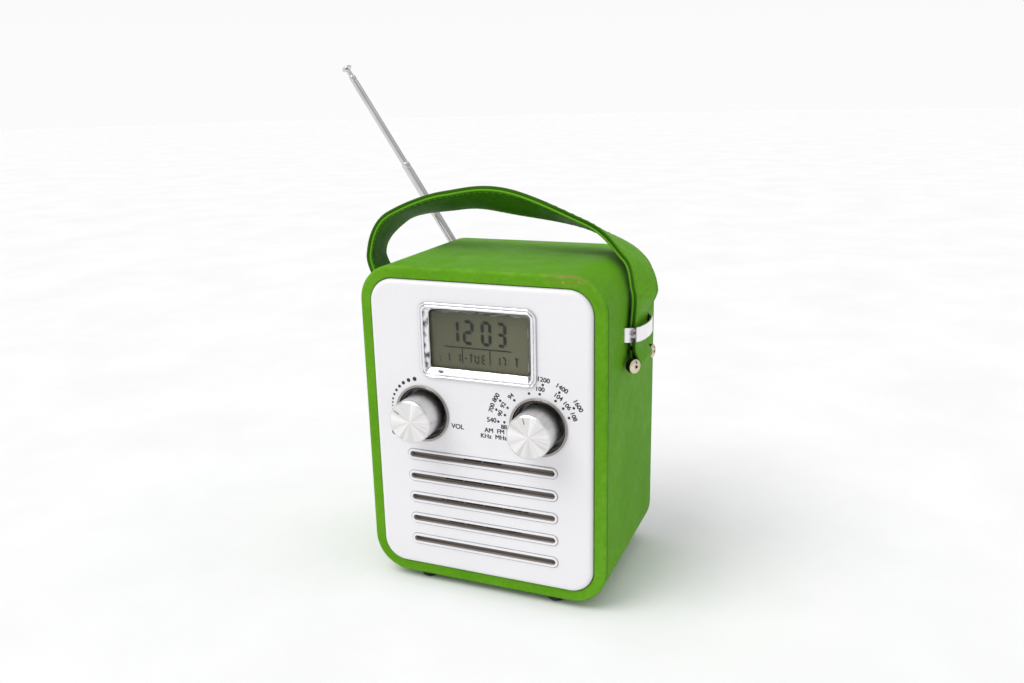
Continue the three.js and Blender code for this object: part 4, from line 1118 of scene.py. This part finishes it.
def build_pin(name, side):
    """A rod through the strap's loop; each end has a dark barrel with a pale dented cap, turned outwards. The rod,
    the barrels and the dents are painted with a dark reflection of the green wall.
    """
    shape = turned([(0, -14), (1.6, -14), (1.6, 14), (0, 14)], 32, kind=1)
    barrel = [(0, -4.2), (2.3, -4.2), (3.2, -3.5), (3.6, -2.5), (3.65, -0.8), (3.5, -0.45)]
    cap = [
        (3.5, -0.45), (3.62, -0.2), (3.45, 0.12), (2.9, 0.42), (1.9, 0.66), (1.0, 0.76), (0.8, 0.5), (0.4, 0.3),
        (0, 0.28),
    ]
    dent = [(0.75, 0.45), (0.62, 0.62), (0.35, 0.68), (0, 0.7)]
    for x, y, z, turn in ((1.7, -17.0, 0.4, -30.8), (2.2, 17.0, -1.0, -7.5)):
        heading = Matrix.Rotation(math.radians(turn), 4, "Z") @ Matrix.Rotation(math.radians(90), 4, "Y")
        move = Matrix.Scale(side, 4, (1, 0, 0)) @ Matrix.Translation((x, y, z)) @ heading
        turned(barrel, 40, False, "Z", move, 1, shape)
        turned(cap, 40, False, "Z", move, 0, shape)
        turned(dent, 20, False, "Z", move @ Matrix.Translation((-1.9, 0.2, 0)), 1, shape)
        turned(dent, 20, False, "Z", move @ Matrix.Translation((0.3, 0.7, 0.05)), 1, shape)
    at = (side * PIN["x"], 0, PIN["z"])
    # the second look is the painted dark reflection
    looks = [NICKEL, NICKEL_DARK_REFLECTION]
    piece(f"pin_with_knobs_{name}", shape, looks, "carrying_strap", f"handle_pin_{name}", at=at)


# ---------------------------------------------------------------- aerial

AERIAL_AT = Vector((-44.6, 50.5, 142.3))
AERIAL_TURN = Matrix.Rotation(math.radians(-33), 4, "Y")
HINGE_TURN = AERIAL_TURN @ Matrix.Rotation(math.radians(90), 4, "Y")


def aerial_piece(name, shape, body, node, look):
    piece(name, shape, [look], body, node, at=AERIAL_AT)


def along_aerial(section, around=False):
    return turned(section, 48, around, "Z", AERIAL_TURN)


def tube_section(radius, start, end):
    """A tube's wall: rolled mouth, a shallow crimp groove below it, and a plain lower end."""
    wall, crimp = 0.4, 2.6
    return [
        (radius, start), (radius, end - crimp - 1.3), (radius - 0.12, end - crimp - 1.0),
        (radius - 0.12, end - crimp - 0.5), (radius, end - crimp), (radius, end - 0.9), (radius - 0.06, end - 0.45),
        (radius - 0.2, end - 0.12), (radius - 0.33, end), (radius - wall, end - 0.1), (radius - wall, start),
    ]


def build_aerial():
    rod = [(0, 82), (1.2, 82), (1.4, 82.3), (1.4, 142.5), (1.3, 142.8), (0, 142.8)]
    tip = [
        (0, 143.1), (1.4, 143.1), (1.5, 143.25), (1.5, 143.8), (1.8, 144.0), (2.7, 144.35), (2.95, 144.6),
        (3.0, 144.95), (2.9, 145.35), (2.55, 145.75), (1.9, 146.1), (1.0, 146.27), (0, 146.3),
    ]
    for name, section, around, body, node in (
        ("aerial_tube_lower", tube_section(2.5, 6.8, 79.6), True, "aerial_arm", "aerial_base_tube"),
        ("aerial_tube_middle", tube_section(2.0, 75.6, 139.7), True, "aerial_mid", "aerial_mid_tube"),
        ("aerial_rod_inner", rod, False, "aerial_rod", "aerial_inner_rod"),
        ("aerial_tip_cap", tip, False, "aerial_rod", "aerial_tip"),
    ):
        aerial_piece(name, along_aerial(section, around), body, node, AERIAL_CHROME)

    elbow = along_aerial(fillet([(0, 6.5), (2.65, 6.5), (2.65, 11), (3, 11), (3, 5), (0, 5)], 0.3))
    eye = fillet([(0, -1.6), (3.2, -1.6), (3.2, 1.6), (0, 1.6)], 0.35)
    turned(eye, 40, False, "Z", HINGE_TURN, shape=elbow)
    elbow.add(*box_points((-1.55, 1.55), (-1.8, 1.8), (1.0, 5.4)), move=AERIAL_TURN)
    aerial_piece("aerial_elbow", elbow, "aerial_arm", "aerial_knuckle", CHROME)

    disc = fillet([(0, -4.7), (6, -4.7), (6, -3.6), (0, -3.6)], 0.3)
    fork = turned(disc, 48, False, "Y", AERIAL_TURN)
    stem = fillet([(0, -8.6), (3, -8.6), (3, -4.5), (0, -4.5)], 0.2)
    turned(stem, 32, False, "Y", AERIAL_TURN, shape=fork)
    for side in (-1, 1):
        near, far = side * 1.9, side * 3.4
        ear = fillet([(0, near), (3.2, near), (3.2, far), (0, far)], 0.25)
        turned(ear, 36, False, "Z", HINGE_TURN, shape=fork)
        fork.add(*box_points(sorted((near, far)), (-4.1, 0), (-3.15, 3.15)), move=AERIAL_TURN)
    aerial_piece("aerial_swivel_fork", fork, "aerial_base", "aerial_swivel", CHROME)

    rivet = fillet([(0, -4.4), (1.9, -4.4), (1.9, -3.6), (1, -3.6), (1, 3.6), (1.9, 3.6), (1.9, 4.4), (0, 4.4)], 0.18)
    rivet = turned(rivet, 32, False, "Z", HINGE_TURN)
    aerial_piece("aerial_hinge_rivet", rivet, "aerial_base", "aerial_hinge_pin", STEEL)


# ---------------------------------------------------------------- back

SCREW = {"x": 51.5, "rows": (14, 153.5), "seat": 3.3, "bore": 1.6}
BUTTONS = {"mode": -21, "set": -7, "down": 7, "up": 21}
SLIDERS = {"band": -16, "alarm": 16}
CONTROL_Z = 92
SLIDER_Z = 110
DC_X, AUX_X = 46, -46


def slot_outline(x, z, half_x, half_z):
    """An upright rounded rectangle centred on (x, z)."""
    return [(px + x, pz) for px, pz in rounded_rect(half_x, z - half_z, z + half_z, 0.3, 3)]


def build_back():
    inner = BACK - 2.3
    inset = PANEL_INSET
    shape = Shape()
    rim = [
        (inset + 0.4, inner), (inset, inner + 0.3), (inset, BACK - 0.6), (inset + 0.18, BACK - 0.18),
        (inset + 0.6, BACK),
    ]
    shape.loft([raised(cabinet_outline(i), y) for i, y in rim])
    door = rounded_rect(31, 14.1, 75.9, 1.5, 4)
    buttons = [circle(x, CONTROL_Z, 3.5, 32) for x in BUTTONS.values()]
    switches = [slot_outline(x, SLIDER_Z, 5.5, 2.3) for x in SLIDERS.values()]
    jacks = [circle(DC_X, CONTROL_Z, 4.5, 32), circle(AUX_X, CONTROL_Z, 3.5, 32)]
    stem = circle(AERIAL_AT.x, AERIAL_AT.z, 3.3, 32)
    holes = [door, *buttons, *switches, *jacks, stem]
    for hole in holes:
        shape.loft([raised(hole, inner), raised(hole, BACK)])
    screws = [(x, z) for z in SCREW["rows"] for x in (-SCREW["x"], SCREW["x"])]
    for x, z in screws:
        wide, narrow = circle(x, z, SCREW["seat"], 32), circle(x, z, SCREW["bore"], 32)
        shape.loft([raised(wide, BACK), raised(wide, BACK - 1), raised(narrow, BACK - 1), raised(narrow, inner)])
    for edge, radius, y in ((0.6, SCREW["seat"], BACK), (0.4, SCREW["bore"], inner)):
        screw_holes = [circle(x, z, radius, 32) for x, z in screws]
        shape.sheet(cabinet_outline(inset + edge), [*holes, *screw_holes], y)
    piece("back_moulding", shape, [BACK_WHITE], "cabinet", "back_panel", sharp=40)
    build_door()
    for i, (x, z) in enumerate(screws):
        build_screw(f"back_screw_{i + 1}", x, z)


def build_door():
    """Battery cover with a round thumb dish and four grip ribs under it."""
    low, high = in_cabinet("battery_door")
    shape = Shape()
    near = BACK - 2

    def outline(inset):
        return rounded_rect(high.x - inset, low.z + inset, high.z - inset, 1.2 - inset * 0.5, 4, 10)

    rings = [(0.3, near), (0, near + 0.3), (0, BACK - 0.4), (0.12, BACK - 0.12), (0.4, BACK)]
    made = shape.loft([raised(outline(i), y) for i, y in rings])
    shape.face(made[0])
    dish = circle(0, high.z - 6.4, 5.2, 40)
    floor = circle(0, high.z - 6.4, 4.3, 40)
    shape.loft([raised(dish, BACK), raised(floor, BACK - 0.75)])
    shape.face(shape.ring(raised(floor, BACK - 0.75)))
    rows = [high.z - 16 - row * 2.6 for row in range(4)]
    ribs = [rounded_rect(9, z - 0.55, z + 0.55, 0.5, 5) for z in rows]
    for rib in ribs:
        centre = sum(z for _, z in rib) / len(rib)
        crest = [(x * 0.97, centre + (z - centre) * 0.45) for x, z in rib]
        shape.loft([raised(rib, BACK), raised(crest, BACK - 0.35)])
        shape.face(shape.ring(raised(crest, BACK - 0.35)))
    shape.sheet(outline(0.4), [dish, *ribs], BACK)
    piece("battery_cover_moulding", shape, [BACK_WHITE], "battery_cover", "battery_door", sharp=40)


def build_screw(node, x, z):
    """A pan-head screw with a cross recess."""
    seat = BACK - 0.7
    shape = Shape()
    stem = [(0, 31), (0.5, 31), (1.25, 32.5), (1.3, seat), (2.8, seat), (3.0, seat + 0.2), (3.0, seat + 0.8)]
    crown = [(3.0, seat + 0.8), (2.75, seat + 1.2), (2.2, seat + 1.5), (2.15, seat + 1.51)]
    turned(stem + crown[1:], 40, shape=shape)
    top = seat + 1.6
    arm, half = 1.5, 0.35
    cross = [
        (half, arm), (half, half), (arm, half), (arm, -half), (half, -half), (half, -arm),
        (-half, -arm), (-half, -half), (-arm, -half), (-arm, half), (-half, half), (-half, arm),
    ]
    rim = circle(0, 0, 2.15, 40)
    shape.loft([raised(rim, seat + 1.51), raised(circle(0, 0, 1.9, 40), top)])
    shape.sheet(circle(0, 0, 1.9, 40), [cross], top)
    deep = [(px * 0.6, pz * 0.6) for px, pz in cross]
    made = shape.loft([raised(cross, top), raised(deep, top - 1.0)])
    shape.face(made[-1])
    piece(f"{node}_cross_head", shape, [STEEL], "cabinet", node, at=(x, 0, z))


def build_controls():
    for name, x in BUTTONS.items():
        section = [
            (0, 41.5), (4.4, 41.5), (4.4, 42.9), (3.2, 42.9), (3.2, BACK + 0.7), (3.05, BACK + 1.0),
            (2.7, BACK + 1.18), (2.2, BACK + 1.14), (1.2, BACK + 0.98), (0, BACK + 0.92),
        ]
        piece(
            f"{name}_button_cap", turned(section, 40), [TAUPE], f"{name}_key", f"{name}_button",
            at=(x, 0, CONTROL_Z),
        )
    for name, slot_x in SLIDERS.items():
        x = slot_x - 2.5
        shape = soft_block((x - 2.6, x + 2.6), (BACK + 1.3, BACK - 4.3), (108, 112), 0.5)
        for rib in range(-2, 3):
            centre = x + rib * 0.9
            points, faces = box_points((centre - 0.18, centre + 0.18), (BACK + 1.0, BACK + 1.3), (108.6, 111.4))
            shape.add(points, faces)
        shape.add(*box_points((x - 8, x + 8), (41.5, 42.9), (106.4, 113.6)))
        piece(f"{name}_slider_thumb", shape, [BLACK], f"{name}_slider", f"{name}_switch")
    mouth = BACK - 0.3
    dc = [
        (0, mouth - 1.5), (0.8, mouth - 1.5), (1, mouth - 1.7), (1, mouth - 9), (2.8, mouth - 9), (2.8, mouth - 0.4),
        (3.1, mouth), (4.0, mouth), (4.2, mouth - 0.2), (4.2, mouth - 11), (0, mouth - 11),
    ]
    piece("dc_inlet", turned(dc, 48), [BLACK], "cabinet", "dc_jack", at=(DC_X, 0, CONTROL_Z))
    aux = [
        (0, mouth - 14), (1.8, mouth - 14), (1.8, mouth - 0.3), (2.1, mouth), (3.0, mouth), (3.2, mouth - 0.2),
        (3.2, mouth - 16), (0, mouth - 16),
    ]
    piece("aux_inlet", turned(aux, 48), [BLACK], "cabinet", "aux_jack", at=(AUX_X, 0, CONTROL_Z))


def build_feet():
    section = [
        (0, -4), (2.2, -4), (2.5, -3.75), (2.8, -4), (3.6, -4), (4.05, -3.88), (4.35, -3.55), (4.5, -3.1),
        (4.5, -0.9), (4.35, -0.4), (4.1, -0.3), (2, -0.3), (2, 4.5), (0, 4.5),
    ]
    foot_x, foot_y = 36.5, 37.5
    for i, (side, end) in enumerate([(-1, -1), (1, -1), (-1, 1), (1, 1)]):
        shape = turned(section, 48, axis="Z")
        at = (side * foot_x, end * foot_y, 0)
        piece(f"rubber_foot_{i + 1}", shape, [RUBBER], "cabinet", f"foot_{i + 1}", at=at)


def spring(shape, x, side, z):
    """A conical coil on a battery contact."""
    turns, steps, wire = 3.5, 84, 0.32
    rings = []
    for step in range(steps + 1):
        t = step / steps
        a = 2 * math.pi * turns * t
        radius = 3.8 - 1.8 * t
        centre = Vector((x - side * (0.2 + 4.5 * t), 35.2 + radius * math.cos(a), z + radius * math.sin(a)))
        outward = Vector((0, math.cos(a), math.sin(a)))
        along = Vector((1, 0, 0))
        rings.append([centre + outward * wire * math.cos(b) + along * wire * math.sin(b) for b in full_turn(6)])
    shape.tube(rings)


def build_contacts():
    for name, side in SIDES:
        x = side * 29.3
        inner = x - side * 0.6
        shape = Shape()
        shape.add(*box_points(sorted((x, inner)), (29, 41.5), (17.5, 72.5)))
        for i in (0, 2):
            z = 15.5 + 14.75 * (i + (0.5 if side > 0 else 1.5))
            spring(shape, inner, side, z)
        piece(f"contact_plate_{name}", shape, [STEEL], "cabinet", f"battery_contact_{name}", sharp=50)


# ---------------------------------------------------------------- carried-over CAD nodes

CAD_LOOKS = {
    "cabinet_core": BOARD, "speaker_baffle": TAUPE, "speaker_basket": STEEL, "speaker_cone": PAPER,
    "speaker_dust_cap": PAPER, "speaker_magnet": FERRITE, "lcd_lens": GLASS, "lcd_display": GROUND,
    "clock_board": CIRCUIT, "volume_shaft": STEEL, "tuning_shaft": STEEL, "volume_potentiometer": STEEL,
    "tuning_capacitor": CREAM, "main_board": CIRCUIT, "ferrite_rod": FERRITE, "battery_box": BLACK,
    "aerial_screw": STEEL, "rear_board": CIRCUIT,
}


def dress_cad():
    for node, look in CAD_LOOKS.items():
        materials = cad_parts[node].data.materials
        materials.clear()
        materials.append(look)


# ---------------------------------------------------------------- floor, light, camera


def build_floor():
    shape = Shape()
    rings = [[(x, y, 0) for x, y in circle(0, 0, radius, 96)] for radius in (150, 400, 1200, 4000, 9000)]
    made = shape.loft(rings)
    shape.face(made[0])
    mesh = bpy.data.meshes.new("floor")
    mesh.from_pydata([Vector(p) * MM for p in shape.points], [], shape.faces)
    s = Surface("floor_pale", (0.86, 0.86, 0.87), 0.75, Specular_IOR_Level=0.2)
    s.tint(s.noise(9, 4, 0.6), (0.82, 0.82, 0.83), (0.87, 0.87, 0.875))
    s.bump(s.noise(60, 4, 0.6), 0.15, 0.3)
    mesh.materials.append(s.material)
    floor = bpy.data.objects.new("floor", mesh)
    bpy.context.scene.collection.objects.link(floor)


def sun_light(name, towards, spread, strength, color):
    """An even soft light that shines on the cabinet from a direction."""
    light = bpy.data.lights.new(name, "SUN")
    light.angle = math.radians(spread)
    light.energy = strength
    light.color = color
    obj = bpy.data.objects.new(name, light)
    bpy.context.scene.collection.objects.link(obj)
    direction = Vector(towards).normalized()
    obj.location = ORIGIN + direction
    obj.rotation_euler = (-direction).to_track_quat("-Z", "Y").to_euler()


def build_light():
    sun_light("key", (-0.42, -0.55, 1.0), 40, 1.6, (1.0, 0.995, 0.985))
    world = bpy.data.worlds.new("studio")
    bpy.context.scene.world = world
    world.use_nodes = True
    tree = world.node_tree
    place = tree.nodes.new("ShaderNodeTexCoord")
    split = tree.nodes.new("ShaderNodeSeparateXYZ")
    ramp = tree.nodes.new("ShaderNodeValToRGB")
    levels = {0.0: 0.97, 0.10: 0.95, 0.30: 0.88, 0.45: 0.45, 0.60: 0.45, 0.75: 0.85, 1.0: 1.0}
    elements = ramp.color_ramp.elements
    for height in list(levels)[1:-1]:
        elements.new(height)
    for element, level in zip(elements, levels.values()):
        element.color = (level, level, level * 1.01, 1)
    tree.links.new(place.outputs["Generated"], split.inputs[0])
    tree.links.new(split.outputs["Z"], ramp.inputs[0])
    tree.links.new(ramp.outputs[0], tree.nodes["Background"].inputs["Color"])


def build_camera():
    azimuth, elevation, roll = (math.radians(degrees) for degrees in (22.4927, 15.4946, -1.2868))
    distance, aside, above = 496.81, -0.99, 35.37
    back = Vector((
        math.sin(azimuth) * math.cos(elevation), -math.cos(azimuth) * math.cos(elevation), math.sin(elevation),
    ))
    right = (-back).cross(Vector((0, 0, 1))).normalized()
    up = right.cross(-back)
    location = Vector((0, 0, BODY["height"] / 2)) + back * distance + right * aside + up * above
    rolled_right = right * math.cos(roll) + up * math.sin(roll)
    rolled_up = up * math.cos(roll) - right * math.sin(roll)
    data = bpy.data.cameras.new("photo_view")
    data.sensor_width = 36
    data.lens = 32.10
    data.clip_start = 0.01
    camera = bpy.data.objects.new("photo_view", data)
    bpy.context.scene.collection.objects.link(camera)
    columns = Matrix((rolled_right, rolled_up, back)).transposed().to_4x4()
    camera.matrix_world = Matrix.Translation(ORIGIN + location * MM) @ columns
    bpy.context.scene.camera = camera


build_camera()
build_floor()
build_light()
bpy.context.scene.view_settings.view_transform = "Standard"
build_wrap()
build_front_panel()
build_scales()
build_bezel()
build_display_segments()
build_knob("volume", -1, "volume_control", 146)
build_knob("tuning", 1, "tuning_control", 104)
build_well("volume", -1)
build_well("tuning", 1)
build_strap()
for label, sign in SIDES:
    build_keeper(label, sign)
    build_pin(label, sign)
build_aerial()
build_back()
build_controls()
build_feet()
build_contacts()
dress_cad()
